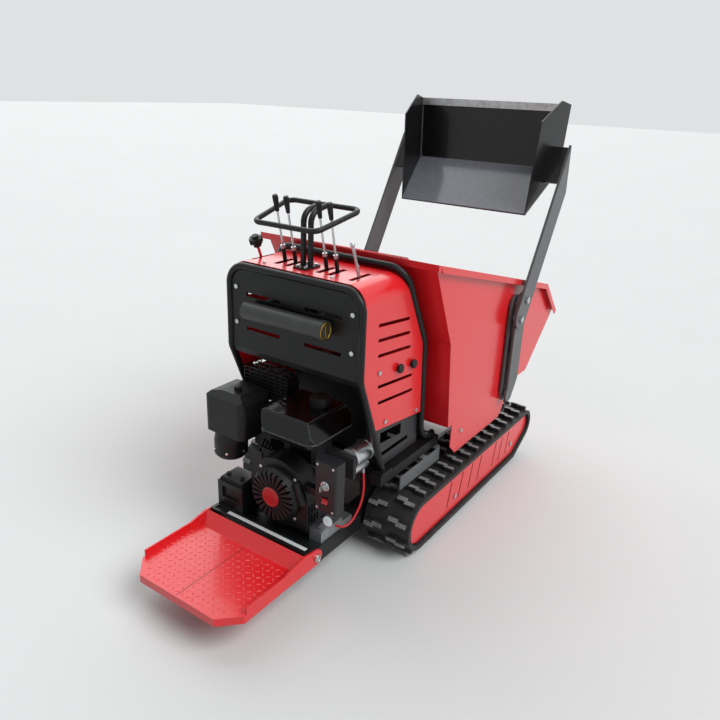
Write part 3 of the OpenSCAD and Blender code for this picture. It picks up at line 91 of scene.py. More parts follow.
# starter cable: the route's points in millimetres, from the solenoid down to the crankcase foot
lead = {"route": [(-345, -220, 330), (-347, -223, 312), (-352, -228, 290), (-362, -233, 262),
                  (-378, -236, 236), (-398, -236, 212), (-420, -234, 193), (-442, -228, 182),
                  (-458, -216, 180), (-462, -200, 180)],
        "diameter": 0.008, "length": 0.226, "roundness": 4, "stepsBetween": 8}
leadCurve = bpy.data.curves.new("starter_lead", "CURVE")
leadCurve.dimensions = "3D"
# the points carry the radius, so that the curve's own box is as slim as the cable
leadCurve.bevel_depth = 1.0
leadCurve.bevel_resolution = lead["roundness"]
leadCurve.resolution_u = lead["stepsBetween"]
leadCurve.use_fill_caps = True
spline = leadCurve.splines.new("BEZIER")
spline.bezier_points.add(len(lead["route"]) - 1)
route = [Vector(place) / 1000 for place in lead["route"]]
for i, knot in enumerate(spline.bezier_points):
    # handles of a sixth of the way between the neighbours keep the curve smooth through every point
    pull = (route[min(i + 1, len(route) - 1)] - route[max(i - 1, 0)]) / 6
    knot.radius = lead["diameter"] / 2
    knot.co = route[i]
    knot.handle_left = route[i] - pull
    knot.handle_right = route[i] + pull
starterLead = bpy.data.objects.new("starter_lead", leadCurve)
scene.collection.objects.link(starterLead)
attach(starterLead, "chassis")
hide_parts("starter_cable")
print("cord laid")

# powder coat over sheet steel, sprayed and baked: a slight orange peel, soft pale pink patches that are dust
# and partly a painted sheen of the sky, paler edges
redCoat = {"name": "redPowderCoat", "paint": "d4171e", "patchTone": "d9555a", "edge": "e0565a",
           "patchShare": 0.16, "roughness": 0.3, "coat": 0.35, "peelMm": 2.2, "patchMm": 260, "edgeMm": 1.6,
           "bump": 0.05}
blackCoat = {"name": "blackPowderCoat", "paint": "111213", "patchTone": "29292a", "edge": "46484a",
             "patchShare": 0.22, "roughness": 0.38, "coat": 0.0, "peelMm": 1.6, "patchMm": 140, "edgeMm": 1.4,
             "bump": 0.08, "specular": 0.28}
bucketCoat = {"name": "bucketPowderCoat", "paint": "0c0c0e", "patchTone": "17181a", "edge": "5d6064",
              "patchShare": 0.3, "roughness": 0.3, "coat": 0.2, "peelMm": 2.0, "patchMm": 200, "edgeMm": 1.8,
              "bump": 0.04, "specular": 0.3}
# paint sprayed on plate: matt grey, a little paler where it is rubbed
armPaint = {"name": "greyArmPaint", "paint": "4a4c4e", "patchTone": "606263", "edge": "7d8083",
            "patchShare": 0.3, "roughness": 0.4, "coat": 0.1, "peelMm": 1.6, "patchMm": 160, "edgeMm": 1.4,
            "bump": 0.06}
platePaint = {"name": "darkPlatePaint", "paint": "2c2d2f", "patchTone": "3c3e40", "edge": "626467",
              "patchShare": 0.3, "roughness": 0.4, "coat": 0.0, "peelMm": 1.6, "patchMm": 120, "edgeMm": 1.4,
              "bump": 0.06, "specular": 0.35}
guardPaint = {"name": "greyGuardPaint", "paint": "5f6264", "patchTone": "7a7d7f", "edge": "909396",
              "patchShare": 0.35, "roughness": 0.42, "coat": 0.1, "peelMm": 1.6, "patchMm": 120, "edgeMm": 1.2,
              "bump": 0.06}
# enamel, dipped and baked: deep black and glossy; the pale edge colour along the pressed edges is a painted
# highlight
tankEnamel = {"name": "blackTankEnamel", "paint": "070708", "patchTone": "101112", "edge": "a4a8ab",
              "patchShare": 0.2, "roughness": 0.12, "coat": 0.0, "peelMm": 4.0, "patchMm": 90, "edgeMm": 4.0,
              "bump": 0.03, "specular": 0.3}
# galvanised strip, rolled and passivated: drawn as pale paint, its whiteness a painted reflection, with a
# soft even shine
stripPaintedShine = {"name": "paleStripPaintedReflection", "paint": "d0d2d3", "patchTone": "b4b6b7", "edge": "e2e3e4",
             "patchShare": 0.5, "roughness": 0.4, "coat": 0.0, "peelMm": 3.0, "patchMm": 60, "edgeMm": 0.8,
             "bump": 0.04}
# ABS, moulded with a spark-eroded grain, drawn coarser than life to show: matt, paler on the ridges
mouldedAbs = {"name": "mouldedBlackAbs", "paint": "101112", "patchTone": "242526", "edge": "3d3f41",
              "patchShare": 0.3, "roughness": 0.46, "coat": 0.0, "peelMm": 0.9, "patchMm": 70, "edgeMm": 1.2,
              "bump": 0.12, "specular": 0.3}
boxAbs = {"name": "mouldedGreyAbs", "paint": "1a1b1d", "patchTone": "26282a", "edge": "585b5e",
          "patchShare": 0.3, "roughness": 0.45, "coat": 0.0, "peelMm": 0.9, "patchMm": 60, "edgeMm": 1.2,
          "bump": 0.1, "specular": 0.4}
lidAbs = {"name": "mouldedLidAbs", "paint": "2b2d30", "patchTone": "3d4043", "edge": "777a7e",
          "patchShare": 0.4, "roughness": 0.35, "coat": 0.0, "peelMm": 0.9, "patchMm": 40, "edgeMm": 1.2,
          "bump": 0.06}
hubAbs = {"name": "mouldedRedAbs", "paint": "b3141b", "patchTone": "c23c41", "edge": "d6686b",
          "patchShare": 0.2, "roughness": 0.35, "coat": 0.2, "peelMm": 0.9, "patchMm": 30, "edgeMm": 0.8,
          "bump": 0.05}
# PVC, extruded: the tube is dull dark grey and a little chalky, the cable's sheath a soft red
tubePvc = {"name": "extrudedTubePvc", "paint": "2b2c2c", "patchTone": "434443", "edge": "505151",
           "patchShare": 0.5, "roughness": 0.44, "coat": 0.0, "peelMm": 1.4, "patchMm": 90, "edgeMm": 1.2,
           "bump": 0.06, "specular": 0.5}
sheathPvc = {"name": "redCableSheath", "paint": "b51720", "patchTone": "8e1a20", "edge": "c9474d",
             "patchShare": 0.35, "roughness": 0.38, "coat": 0.0, "peelMm": 1.5, "patchMm": 25, "edgeMm": 0.5,
             "bump": 0.05}
# the rubbed edges of all coats, and the tank's painted highlight along its edges: where the rounded normal
# leaves the flat one, broken up in patches
coatEdgeWearAndHighlight = {"edgePatchMm": 18, "from": 0.985, "full": 0.86, "share": 0.75, "coatRoughness": 0.12}


def coated(spec):
    mat, tree, shader, place = newMaterial(spec["name"])
    cloud = addNode(tree, "ShaderNodeTexNoise", {
        "Vector": place, "Scale": 1000 / spec["patchMm"], "Detail": 5.0, "Roughness": 0.62})
    # soft patches of a second tone: dust, and on the red coats partly a painted sheen
    share = addNode(tree, "ShaderNodeMapRange", {
        "Value": cloud.outputs[0], 1: 0.48, 2: 0.78, 3: 0.0, 4: spec["patchShare"]})
    patched = addNode(tree, "ShaderNodeMix", {
        0: share.outputs[0], 6: linear(spec["paint"]), 7: linear(spec["patchTone"])}, data_type="RGBA")
    rounded = addNode(tree, "ShaderNodeBevel", {"Radius": spec["edgeMm"] / 1000}, samples=4)
    flat = addNode(tree, "ShaderNodeNewGeometry").outputs["Normal"]
    bend = addNode(tree, "ShaderNodeVectorMath", {0: rounded.outputs[0], 1: flat}, operation="DOT_PRODUCT")
    edgePatches = addNode(tree, "ShaderNodeTexNoise", {
        "Vector": place, "Scale": 1000 / coatEdgeWearAndHighlight["edgePatchMm"], "Detail": 3.0})
    edge = addNode(tree, "ShaderNodeMapRange", {
        "Value": bend.outputs["Value"], 1: coatEdgeWearAndHighlight["from"], 2: coatEdgeWearAndHighlight["full"],
        3: 0.0, 4: coatEdgeWearAndHighlight["share"]})
    # edge colour where the coat is rubbed, and on the fuel tank a painted highlight
    wornAndHighlit = addNode(tree, "ShaderNodeMath", {0: edge.outputs[0], 1: edgePatches.outputs[0]}, operation="MULTIPLY")
    colour = addNode(tree, "ShaderNodeMix", {
        0: wornAndHighlit.outputs[0], 6: patched.outputs[2], 7: linear(spec["edge"])}, data_type="RGBA")
    peel = addNode(tree, "ShaderNodeTexNoise", {
        "Vector": place, "Scale": 1000 / spec["peelMm"], "Detail": 2.0})
    bump = addNode(tree, "ShaderNodeBump", {
        "Strength": spec["bump"], "Distance": 0.001, "Height": peel.outputs[0], "Normal": rounded.outputs[0]})
    gloss = addNode(tree, "ShaderNodeMapRange", {
        "Value": cloud.outputs[0], 1: 0.3, 2: 0.75, 3: spec["roughness"] * 0.85, 4: spec["roughness"] * 1.25})
    tree.links.new(colour.outputs[2], shader.inputs["Base Color"])
    tree.links.new(gloss.outputs[0], shader.inputs["Roughness"])
    tree.links.new(bump.outputs[0], shader.inputs["Normal"])
    shader.inputs["Specular IOR Level"].default_value = spec.get("specular", 0.5)
    shader.inputs["Coat Weight"].default_value = spec["coat"]
    shader.inputs["Coat Roughness"].default_value = coatEdgeWearAndHighlight["coatRoughness"]
    return mat


# zinc-plated, chromed and ground steel: bright, with dull spots and tool marks drawn coarser than life
zincSteel = {"name": "zincPlatedSteel", "metal": "c4c7c9", "dull": "8f9294", "roughness": 0.3, "markMm": 0.8}
chromeSteel = {"name": "hardChrome", "metal": "d3d6d8", "dull": "b9bcbe", "roughness": 0.12, "markMm": 0.6}
groundSteel = {"name": "groundEdgeSteel", "metal": "b4b6b8", "dull": "9a9c9e", "roughness": 0.5,
               "markMm": 5.0}
# rolled, heated and cast metals: darker and duller, with coarser marks
darkSteel = {"name": "darkRolledSteel", "metal": "4d4f52", "dull": "343537", "roughness": 0.42, "markMm": 1.4}
mufflerSteel = {"name": "heatDarkSteel", "metal": "2c2a28", "dull": "1b1a19", "roughness": 0.6, "markMm": 2.5}
castAlloy = {"name": "dieCastAluminium", "metal": "a7abae", "dull": "7a7e81", "roughness": 0.46,
             "markMm": 3.0}
castIron = {"name": "paintedCastIron", "metal": "5b5e60", "dull": "3c3e40", "roughness": 0.55, "markMm": 3.0}
# anodised aluminium and copper, turned: warm coloured and softly bright
goldAlloy = {"name": "goldAnodisedAluminium", "metal": "c09a45", "dull": "8f7232", "roughness": 0.32,
             "markMm": 1.0}
copperNut = {"name": "copperTerminal", "metal": "c8793a", "dull": "9a5a2b", "roughness": 0.3, "markMm": 0.6}
metalWear = {"spotMm": 22, "share": 0.5, "edge": 0.0008, "bump": 0.08, "depth": 0.0008}


def bareMetal(spec):
    mat, tree, shader, place = newMaterial(spec["name"])
    marks = addNode(tree, "ShaderNodeTexNoise", {
        "Vector": place, "Scale": 1000 / spec["markMm"], "Detail": 3.0})
    spots = addNode(tree, "ShaderNodeTexNoise", {
        "Vector": place, "Scale": 1000 / metalWear["spotMm"], "Detail": 4.0})
    share = addNode(tree, "ShaderNodeMapRange", {
        "Value": spots.outputs[0], 1: 0.45, 2: 0.75, 3: 0.0, 4: metalWear["share"]})
    colour = addNode(tree, "ShaderNodeMix", {
        0: share.outputs[0], 6: linear(spec["metal"]), 7: linear(spec["dull"])}, data_type="RGBA")
    rounded = addNode(tree, "ShaderNodeBevel", {"Radius": metalWear["edge"]}, samples=4)
    bump = addNode(tree, "ShaderNodeBump", {
        "Strength": metalWear["bump"], "Distance": metalWear["depth"], "Height": marks.outputs[0],
        "Normal": rounded.outputs[0]})
    gloss = addNode(tree, "ShaderNodeMapRange", {
        "Value": spots.outputs[0], 1: 0.3, 2: 0.7, 3: spec["roughness"] * 0.8, 4: spec["roughness"] * 1.4})
    tree.links.new(colour.outputs[2], shader.inputs["Base Color"])
    tree.links.new(gloss.outputs[0], shader.inputs["Roughness"])
    tree.links.new(bump.outputs[0], shader.inputs["Normal"])
    shader.inputs["Metallic"].default_value = 1.0
    return mat


# coats of single pieces: tread rubbed, its pale patches partly a painted highlight where bars catch the
# light; welded seam darkened with painted shade; grey weld beads
treadCoat = {**redCoat, "name": "treadCoatRubbedAndHighlit", "paint": "d8292f", "patchTone": "e58688", "patchShare": 0.6,
             "patchMm": 30}
# darker red for the seam: painted shade of the groove
seamShadeCoat = {**redCoat, "name": "seamPaintedShade", "paint": "8f0f14", "patchTone": "a12a2f", "roughness": 0.5}
beadCoat = {**bucketCoat, "name": "weldedBeadCoat", "paint": "4d5054", "patchTone": "8d9094", "patchShare": 0.7,
            "patchMm": 14}
finishes = {spec["name"]: coated(spec) for spec in (
    redCoat, blackCoat, armPaint, platePaint, guardPaint, tankEnamel, stripPaintedShine, mouldedAbs, boxAbs, lidAbs,
    hubAbs, tubePvc, sheathPvc, treadCoat, seamShadeCoat, beadCoat)}
finishes.update({spec["name"]: bareMetal(spec) for spec in (
    zincSteel, chromeSteel, groundSteel, darkSteel, mufflerSteel, castAlloy, castIron, goldAlloy, copperNut)})
print("finishes made:", len(finishes))

# moulded rubber: nearly black in the grooves, scuffed grey and dusty on the faces that meet the ground; the
# pale grey there is partly a painted reflection of the sky
# wheels as (x, z, radius), and the heights outside them where the scuffing starts and is full
belt = {"rubber": "151515", "scuffAndSheen": "7c7c7b", "patchTone": "333332", "grainMm": 1.8, "patchMm": 35,
        "sprocket": (-0.195, 0.113, 0.079), "roller": (0.601, 0.0663, 0.0323),
        "idler": (0.697, 0.140, 0.0513), "frontLength": 0.25, "lugFrom": 0.0305, "lugFull": 0.0325,
        "edge": 0.002, "bump": 0.2, "dullRoughness": 0.62, "rubbedRoughness": 0.34}


def trackRubber():
    mat, tree, shader, place = newMaterial("mouldedTrackRubber")
    split = addNode(tree, "ShaderNodeSeparateXYZ", {0: place})
    # the belt's slope from the front roller up to the idler
    rise = (belt["idler"][0] - belt["roller"][0], belt["idler"][1] - belt["roller"][1])
    widening = (belt["idler"][2] - belt["roller"][2]) / math.hypot(*rise)
    lean = math.atan2(rise[1], rise[0]) - math.asin(widening)
    runs = [(belt["sprocket"], (-1, 0, 0), (0, 0, 1)), (belt["idler"], (1, 0, 0), (0, 0, 1)),
            (belt["idler"], (math.cos(lean), 0, math.sin(lean)), (math.sin(lean), 0, -math.cos(lean)))]
    outward = []
    for (x, z, radius), alongRun, offRun in runs:
        arm = addNode(tree, "ShaderNodeVectorMath", {0: place, 1: (x, 0, z)}, operation="SUBTRACT").outputs[0]
        along = addNode(tree, "ShaderNodeVectorMath", {0: arm, 1: alongRun}, operation="DOT_PRODUCT")
        off = addNode(tree, "ShaderNodeVectorMath", {0: arm, 1: offRun}, operation="DOT_PRODUCT")
        # only the part of the wheel that the belt wraps counts
        wrapped = addNode(tree, "ShaderNodeMath", {0: along.outputs["Value"], 1: 0.0}, operation="MAXIMUM")
        flat = addNode(tree, "ShaderNodeCombineXYZ", {0: wrapped.outputs[0], 1: 0.0, 2: off.outputs["Value"]})
        reach = addNode(tree, "ShaderNodeVectorMath", {0: flat.outputs[0]}, operation="LENGTH")
        beyond = addNode(tree, "ShaderNodeMath", {0: reach.outputs["Value"], 1: radius}, operation="SUBTRACT")
        outward.append(beyond.outputs[0])
    low = addNode(tree, "ShaderNodeMath", {0: split.outputs[2], 1: belt["idler"][1]}, operation="LESS_THAN")
    front = addNode(tree, "ShaderNodeMix", {
        0: low.outputs[0], 2: outward[1], 3: outward[2]}, data_type="FLOAT")
    outer = addNode(tree, "ShaderNodeMath", {0: outward[0], 1: front.outputs[0]}, operation="MAXIMUM")
    frontStart = belt["idler"][0] - belt["frontLength"]
    ahead = addNode(tree, "ShaderNodeMath", {0: split.outputs[0], 1: frontStart}, operation="GREATER_THAN")
    height = addNode(tree, "ShaderNodeMix", {
        0: ahead.outputs[0], 2: outward[0], 3: outer.outputs[0]}, data_type="FLOAT")
    lug = addNode(tree, "ShaderNodeMapRange", {
        "Value": height.outputs[0], 1: belt["lugFrom"], 2: belt["lugFull"], 3: 0.0, 4: 1.0})
    patch = addNode(tree, "ShaderNodeTexNoise", {
        "Vector": place, "Scale": 1000 / belt["patchMm"], "Detail": 6.0, "Roughness": 0.7})
    grain = addNode(tree, "ShaderNodeTexNoise", {
        "Vector": place, "Scale": 1000 / belt["grainMm"], "Detail": 3.0})
    patched = addNode(tree, "ShaderNodeMapRange", {"Value": patch.outputs[0], 1: 0.45, 2: 0.75, 3: 0.0, 4: 0.6})
    body = addNode(tree, "ShaderNodeMix", {
        0: patched.outputs[0], 6: linear(belt["rubber"]), 7: linear(belt["patchTone"])}, data_type="RGBA")
    wear = addNode(tree, "ShaderNodeMapRange", {"Value": patch.outputs[0], 1: 0.25, 2: 0.6, 3: 0.45, 4: 1.0})
    share = addNode(tree, "ShaderNodeMath", {0: lug.outputs[0], 1: wear.outputs[0]}, operation="MULTIPLY")
    # pale grey on the lug faces: scuffing, and partly a painted reflection of the sky
    colour = addNode(tree, "ShaderNodeMix", {
        0: share.outputs[0], 6: body.outputs[2], 7: linear(belt["scuffAndSheen"])}, data_type="RGBA")
    rounded = addNode(tree, "ShaderNodeBevel", {"Radius": belt["edge"]}, samples=4)
    bump = addNode(tree, "ShaderNodeBump", {
        "Strength": belt["bump"], "Distance": 0.001, "Height": grain.outputs[0],
        "Normal": rounded.outputs[0]})
    # the rubbed lug faces shine more than the grooves
    gloss = addNode(tree, "ShaderNodeMapRange", {
        "Value": share.outputs[0], 1: 0.0, 2: 1.0, 3: belt["dullRoughness"], 4: belt["rubbedRoughness"]})
    tree.links.new(colour.outputs[2], shader.inputs["Base Color"])
    tree.links.new(gloss.outputs[0], shader.inputs["Roughness"])
    tree.links.new(bump.outputs[0], shader.inputs["Normal"])
    return mat


rubber = trackRubber()
pairWear = {"patchMm": 20, "share": 0.5, "grainMm": 1.5, "edge": 0.001, "bump": 0.08}


# two finishes on one piece, parted by limits in metres along one of its axes or along a leaning direction
def twoFinishes(name, base, other, bands):
    mat, tree, shader, place = newMaterial(name)
    split = addNode(tree, "ShaderNodeSeparateXYZ", {0: place})
    mask = None
    for axis, low, high, inside in bands:
        if isinstance(axis, int):
            along = split.outputs[axis]
        else:
            lean = addNode(tree, "ShaderNodeVectorMath", {0: place, 1: axis}, operation="DOT_PRODUCT")
            along = lean.outputs["Value"]
        above = addNode(tree, "ShaderNodeMath", {0: along, 1: low}, operation="GREATER_THAN").outputs[0]
        below = addNode(tree, "ShaderNodeMath", {0: along, 1: high}, operation="LESS_THAN").outputs[0]
        band = addNode(tree, "ShaderNodeMath", {0: above, 1: below}, operation="MULTIPLY").outputs[0]
        if not inside:
            band = addNode(tree, "ShaderNodeMath", {0: 1.0, 1: band}, operation="SUBTRACT").outputs[0]
        if mask is not None:
            band = addNode(tree, "ShaderNodeMath", {0: mask, 1: band}, operation="MULTIPLY").outputs[0]
        mask = band
    patch = addNode(tree, "ShaderNodeTexNoise", {
        "Vector": place, "Scale": 1000 / pairWear["patchMm"], "Detail": 4.0})
    share = addNode(tree, "ShaderNodeMapRange", {
        "Value": patch.outputs[0], 1: 0.45, 2: 0.75, 3: 0.0, 4: pairWear["share"]})
    tones = []
    for spec in (base, other):
        first, second = ("metal", "dull") if "metal" in spec else ("paint", "patchTone")
        tone = addNode(tree, "ShaderNodeMix", {
            0: share.outputs[0], 6: linear(spec[first]), 7: linear(spec[second])}, data_type="RGBA")
        tones.append(tone.outputs[2])
    colour = addNode(tree, "ShaderNodeMix", {0: mask, 6: tones[0], 7: tones[1]}, data_type="RGBA")
    metal = addNode(tree, "ShaderNodeMapRange", {
        "Value": mask, 1: 0.0, 2: 1.0, 3: float("metal" in base), 4: float("metal" in other)})
    gloss = addNode(tree, "ShaderNodeMapRange", {
        "Value": mask, 1: 0.0, 2: 1.0, 3: base["roughness"], 4: other["roughness"]})
    grain = addNode(tree, "ShaderNodeTexNoise", {
        "Vector": place, "Scale": 1000 / pairWear["grainMm"], "Detail": 2.0})
    rounded = addNode(tree, "ShaderNodeBevel", {"Radius": pairWear["edge"]}, samples=4)
    bump = addNode(tree, "ShaderNodeBump", {
        "Strength": pairWear["bump"], "Distance": 0.001, "Height": grain.outputs[0],
        "Normal": rounded.outputs[0]})
    tree.links.new(colour.outputs[2], shader.inputs["Base Color"])
    tree.links.new(metal.outputs[0], shader.inputs["Metallic"])
    tree.links.new(gloss.outputs[0], shader.inputs["Roughness"])
    tree.links.new(bump.outputs[0], shader.inputs["Normal"])
    shader.inputs["Specular IOR Level"].default_value = base.get("specular", 0.5)
    shader.inputs["Coat Weight"].default_value = base.get("coat", 0.0)
    return mat


# levers lean forward from one pivot line, in degrees; the spans are metres along a lever from its pivot
levers = {"pivotX": -0.332, "pivotZ": 0.925, "handLean": 13, "rod": (0.0992, 0.2198),
          "chokeLean": 22, "stalk": (-0.02, 0.0978)}


def leverBand(lean, span):
    a = math.radians(lean)
    pivot = -levers["pivotX"] * math.sin(a) + levers["pivotZ"] * math.cos(a)
    return ((-math.sin(a), 0.0, math.cos(a)), pivot + span[0], pivot + span[1], True)


leverSteel = twoFinishes("leverRodAndGrip", mouldedAbs, zincSteel,
                         [leverBand(levers["handLean"], levers["rod"])])
chokeStalk = twoFinishes("chokeStalkAndKnob", mouldedAbs, redCoat,
                         [leverBand(levers["chokeLean"], levers["stalk"])])
# bright nuts on the handle's foot, in front of and behind the stems
handleFoot = {"nutsZ": (0.9841, 0.9895), "stemsX": (-0.380, -0.348)}
handleNuts = twoFinishes("handleTubeAndNuts", blackCoat, zincSteel,
                         [(2, *handleFoot["nutsZ"], True), (0, *handleFoot["stemsX"], False)])
# the crankcase's foot is bare alloy, the rest of the engine painted
foot = {"y": (-0.26, -0.1405), "z": (0.15, 0.26)}
enginePaint = {**blackCoat, "paint": "232426", "roughness": 0.48}
crankcase = twoFinishes("crankcaseCastings", enginePaint, castAlloy,
                        [(1, *foot["y"], True), (2, *foot["z"], True)])
# the shovel's floor is paler, bluish and glossier, the rest keeps its darker coat
shovelFloor = {"normal": (-0.6164, 0.0, 0.7876), "span": (0.4464, 0.4515)}
polished = {**bucketCoat, "paint": "666a72", "patchTone": "74787f", "roughness": 0.14}
bucketPaint = twoFinishes("bucketCoatAndPolishedFloor", bucketCoat, polished,
                          [(shovelFloor["normal"], *shovelFloor["span"], True)])

dress = {
    "redPowderCoat": ["track_covers", "platform", "cowl", "hopper"],
    "blackPowderCoat": ["chassis_frame", "track_frames", "engine_base", "fan_housing", "muffler_guard",
                        "oil_tank", "rear_hoop", "front_hoop", "rear_panel", "tip_ram_barrel",
                        "loader_ram_barrel"],
    "greyArmPaint": ["lower_arms", "upper_arms"],
    "darkPlatePaint": ["side_plates"],
    "greyGuardPaint": ["track_guards"],
    "blackTankEnamel": ["fuel_tank"],
    "mouldedBlackAbs": ["recoil_cover", "air_cleaner", "battery", "recoil_handle", "fuel_cap",
                        "air_cleaner_knob"],
    "extrudedTubePvc": ["document_tube"],
    "mouldedGreyAbs": ["control_box"],
    "mouldedRedAbs": ["stop_switch"],
    "zincPlatedSteel": ["cover_bolts", "starter_motor", "hinge_pins", "key_switch", "throttle_lever",
                        "arm_bolts"],
    "groundEdgeSteel": ["cutting_edge"],
    "hardChrome": ["tip_ram_rod", "loader_ram_rod"],
    "darkRolledSteel": ["drive_sprocket_left", "drive_sprocket_right", "idler_left", "idler_right",
                        "roller_front_left", "roller_front_right", "roller_rear_left", "roller_rear_right"],
    "heatDarkSteel": ["muffler"],
    "dieCastAluminium": ["hydraulic_pump"],
    "paintedCastIron": ["valve_block"],
    "redCableSheath": ["starter_cable"],
}
materialOf = {"track_left": rubber, "track_right": rubber, "drive_lever_left": leverSteel,
              "drive_lever_right": leverSteel, "tip_lever": leverSteel, "shovel_lever": leverSteel,
              "choke_lever": chokeStalk, "handle": handleNuts, "engine_block": crankcase,
              "bucket": bucketPaint}
for finish, names in dress.items():
    for name in names:
        materialOf[name] = finishes[finish]
for name, part in nodes.items():
    for held in part.material_slots:
        held.material = materialOf[name]
starterLead.data.materials.append(finishes["redCableSheath"])
print("solids dressed:", len(materialOf))


def addPiece(name, build, finish, body, smooth=True, sharpAngle=38):
    mesh = bpy.data.meshes.new(name)
    work = bmesh.new()
    build(work)
    bmesh.ops.recalc_face_normals(work, faces=work.faces)
    work.to_mesh(mesh)
    work.free()
    mesh.materials.append(finishes[finish])
    piece = bpy.data.objects.new(name, mesh)
    scene.collection.objects.link(piece)
    if smooth:
        mesh.shade_smooth()
        mesh.set_sharp_from_angle(angle=math.radians(sharpAngle))
    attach(piece, body)


# points of a circle about the origin, square to z
def circle(radius, sides):
    angles = [2 * math.pi * k / sides for k in range(sides)]
    return [Vector((radius * math.cos(a), radius * math.sin(a), 0)) for a in angles]


# a turned form: profile of (radius, height) about an axis through a place
def turned(work, profile, place, axis, sides):
    turn = Vector((0, 0, 1)).rotation_difference(Vector(axis)).to_matrix()
    rings = []
    for radius, height in profile:
        ring = circle(radius, sides) if radius else [Vector((0, 0, 0))]
        lift = Vector((0, 0, height))
        rings.append([work.verts.new(Vector(place) + turn @ (point + lift)) for point in ring])
    for low, high in zip(rings, rings[1:]):
        for k in range(sides):
            n = k + 1
            quad = [low[k % len(low)], low[n % len(low)], high[n % len(high)], high[k % len(high)]]
            work.faces.new(list(dict.fromkeys(quad)))


# a block with small rounded edges
def block(work, low, high, edge):
    made = bmesh.ops.create_cube(work, size=1)["verts"]
    size = [b - a for a, b in zip(low, high)]
    for v in made:
        v.co = Vector([a + (c + 0.5) * s for a, c, s in zip(low, v.co, size)])
    edges = list({e for v in made for e in v.link_edges})
    bmesh.ops.bevel(work, geom=edges, offset=edge, segments=2, affect="EDGES", clamp_overlap=True)


# a round bar along points, with its radius given at each point
def bar(work, points, radii, sides):
    points = [Vector(p) for p in points]
    rings = []
    for i, p in enumerate(points):
        way = (points[min(i + 1, len(points) - 1)] - points[max(i - 1, 0)]).normalized()
        turn = Vector((0, 0, 1)).rotation_difference(way).to_matrix()
        rings.append([work.verts.new(p + turn @ point) for point in circle(radii[i], sides)])
    for low, high in zip(rings, rings[1:]):
        for k in range(sides):
            n = (k + 1) % sides
            work.faces.new([low[k], low[n], high[n], high[k]])
    work.faces.new(list(reversed(rings[0])))
    work.faces.new(rings[-1])


# raised bars of the tread plate, pressed in pairs at right angles, clear of the edges and the seam
tread = {"z": 0.130, "x": (-0.950, -0.684), "halfWidth": 0.203, "inset": 0.008, "pitch": 0.0205,
         "length": 0.0185, "width": 0.0058, "height": 0.0012, "sink": 0.0003, "crownShare": 0.55, "sides": 10,
         "chamfer": 0.062, "rear": -0.9605, "half": 0.213, "edgeRoom": 0.018, "seamRoom": 0.009}


def treadBars(work):
    rows = int((tread["x"][1] - tread["x"][0]) / tread["pitch"])
    columns = int(2 * tread["halfWidth"] / tread["pitch"])
    sides = tread["sides"]
    for i in range(rows + 1):
        for j in range(columns + 1):
            x = tread["x"][0] + tread["inset"] + i * tread["pitch"]
            y = -tread["halfWidth"] + tread["inset"] + j * tread["pitch"]
            room = (x - tread["rear"]) + (tread["half"] - abs(y)) - tread["chamfer"]
            if room < tread["edgeRoom"] or abs(y) < tread["seamRoom"] or x > tread["x"][1] - tread["inset"]:
                continue
            angle = math.radians(45 if (i + j) % 2 else -45)
            along = Vector((math.cos(angle), math.sin(angle), 0))
            across = Vector((-along.y, along.x, 0))
            middle = Vector((x, y, tread["z"]))
            foot, crown = [], []
            for point in circle(1, sides):
                out = along * point.x * tread["length"] / 2 + across * point.y * tread["width"] / 2
                foot.append(work.verts.new(middle + out - Vector((0, 0, tread["sink"]))))
                raised = Vector((0, 0, tread["height"]))
                crown.append(work.verts.new(middle + out * tread["crownShare"] + raised))
            for k in range(sides):
                n = (k + 1) % sides
                work.faces.new([foot[k], foot[n], crown[n], crown[k]])
            work.faces.new(crown)


addPiece("platform_tread", treadBars, "treadCoatRubbedAndHighlit", "platform_body")

# welded seam along the platform's middle, its darker red a painted shade of the groove between the two plates
seam = {"low": (-0.955, -0.0016, 0.1297), "high": (-0.680, 0.0016, 0.1306), "edge": 0.0003}
addPiece("platform_seam", lambda work: block(work, **seam), "seamPaintedShade", "platform_body")

# bare strip in the base's cross channel, its brightness a painted reflection
strip = {"low": (-0.6125, -0.192, 0.1622), "high": (-0.5975, 0.140, 0.1668), "edge": 0.0006}
addPiece("base_strip", lambda work: block(work, **strip), "paleStripPaintedReflection", "chassis")

# domed red hub with a plain ring on the recoil cover; the rim's points are insets from its radius
hub = {"place": (-0.589, -0.033, 0.285), "axis": (-1, 0, 0), "radius": 0.0335, "sides": 40,
       "rim": [(0, 0.0), (0, 0.0012), (0.002, 0.0022), (0.006, 0.0022), (0.007, 0.0012), (0.009, 0.0012),
               (0.010, 0.0024)],
       "dome": [(0.012, 0.0032), (0, 0.0034)]}


def hubDome(work):
    rim = [(hub["radius"] - inset, height) for inset, height in hub["rim"]]
    turned(work, rim + hub["dome"], hub["place"], hub["axis"], hub["sides"])


addPiece("recoil_hub", hubDome, "mouldedRedAbs", "chassis")

# screws round the recoil cover
recoilScrew = {"x": -0.5521, "ring": 0.100, "angles": (45, 135, 225, 315), "sides": 16,
               "profile": [(0.0062, 0), (0.0062, 0.0028), (0.005, 0.0036), (0.002, 0.0036), (0.0016, 0.0028),
                           (0, 0.0028)]}


def recoilScrews(work):
    for angle in recoilScrew["angles"]:
        a = math.radians(angle)
        y = hub["place"][1] + recoilScrew["ring"] * math.cos(a)
        z = hub["place"][2] + recoilScrew["ring"] * math.sin(a)
        turned(work, recoilScrew["profile"], (recoilScrew["x"], y, z), hub["axis"], recoilScrew["sides"])


addPiece("recoil_screws", recoilScrews, "zincPlatedSteel", "chassis")

# rolled seam round the fuel tank's widest part
tank = {"x": (-0.563, -0.335), "y": (-0.176, 0.044), "z": 0.495, "corner": 0.034, "cornerSteps": 8,
        "bead": 0.0024, "beadHeight": 1.4, "beadSides": 8}


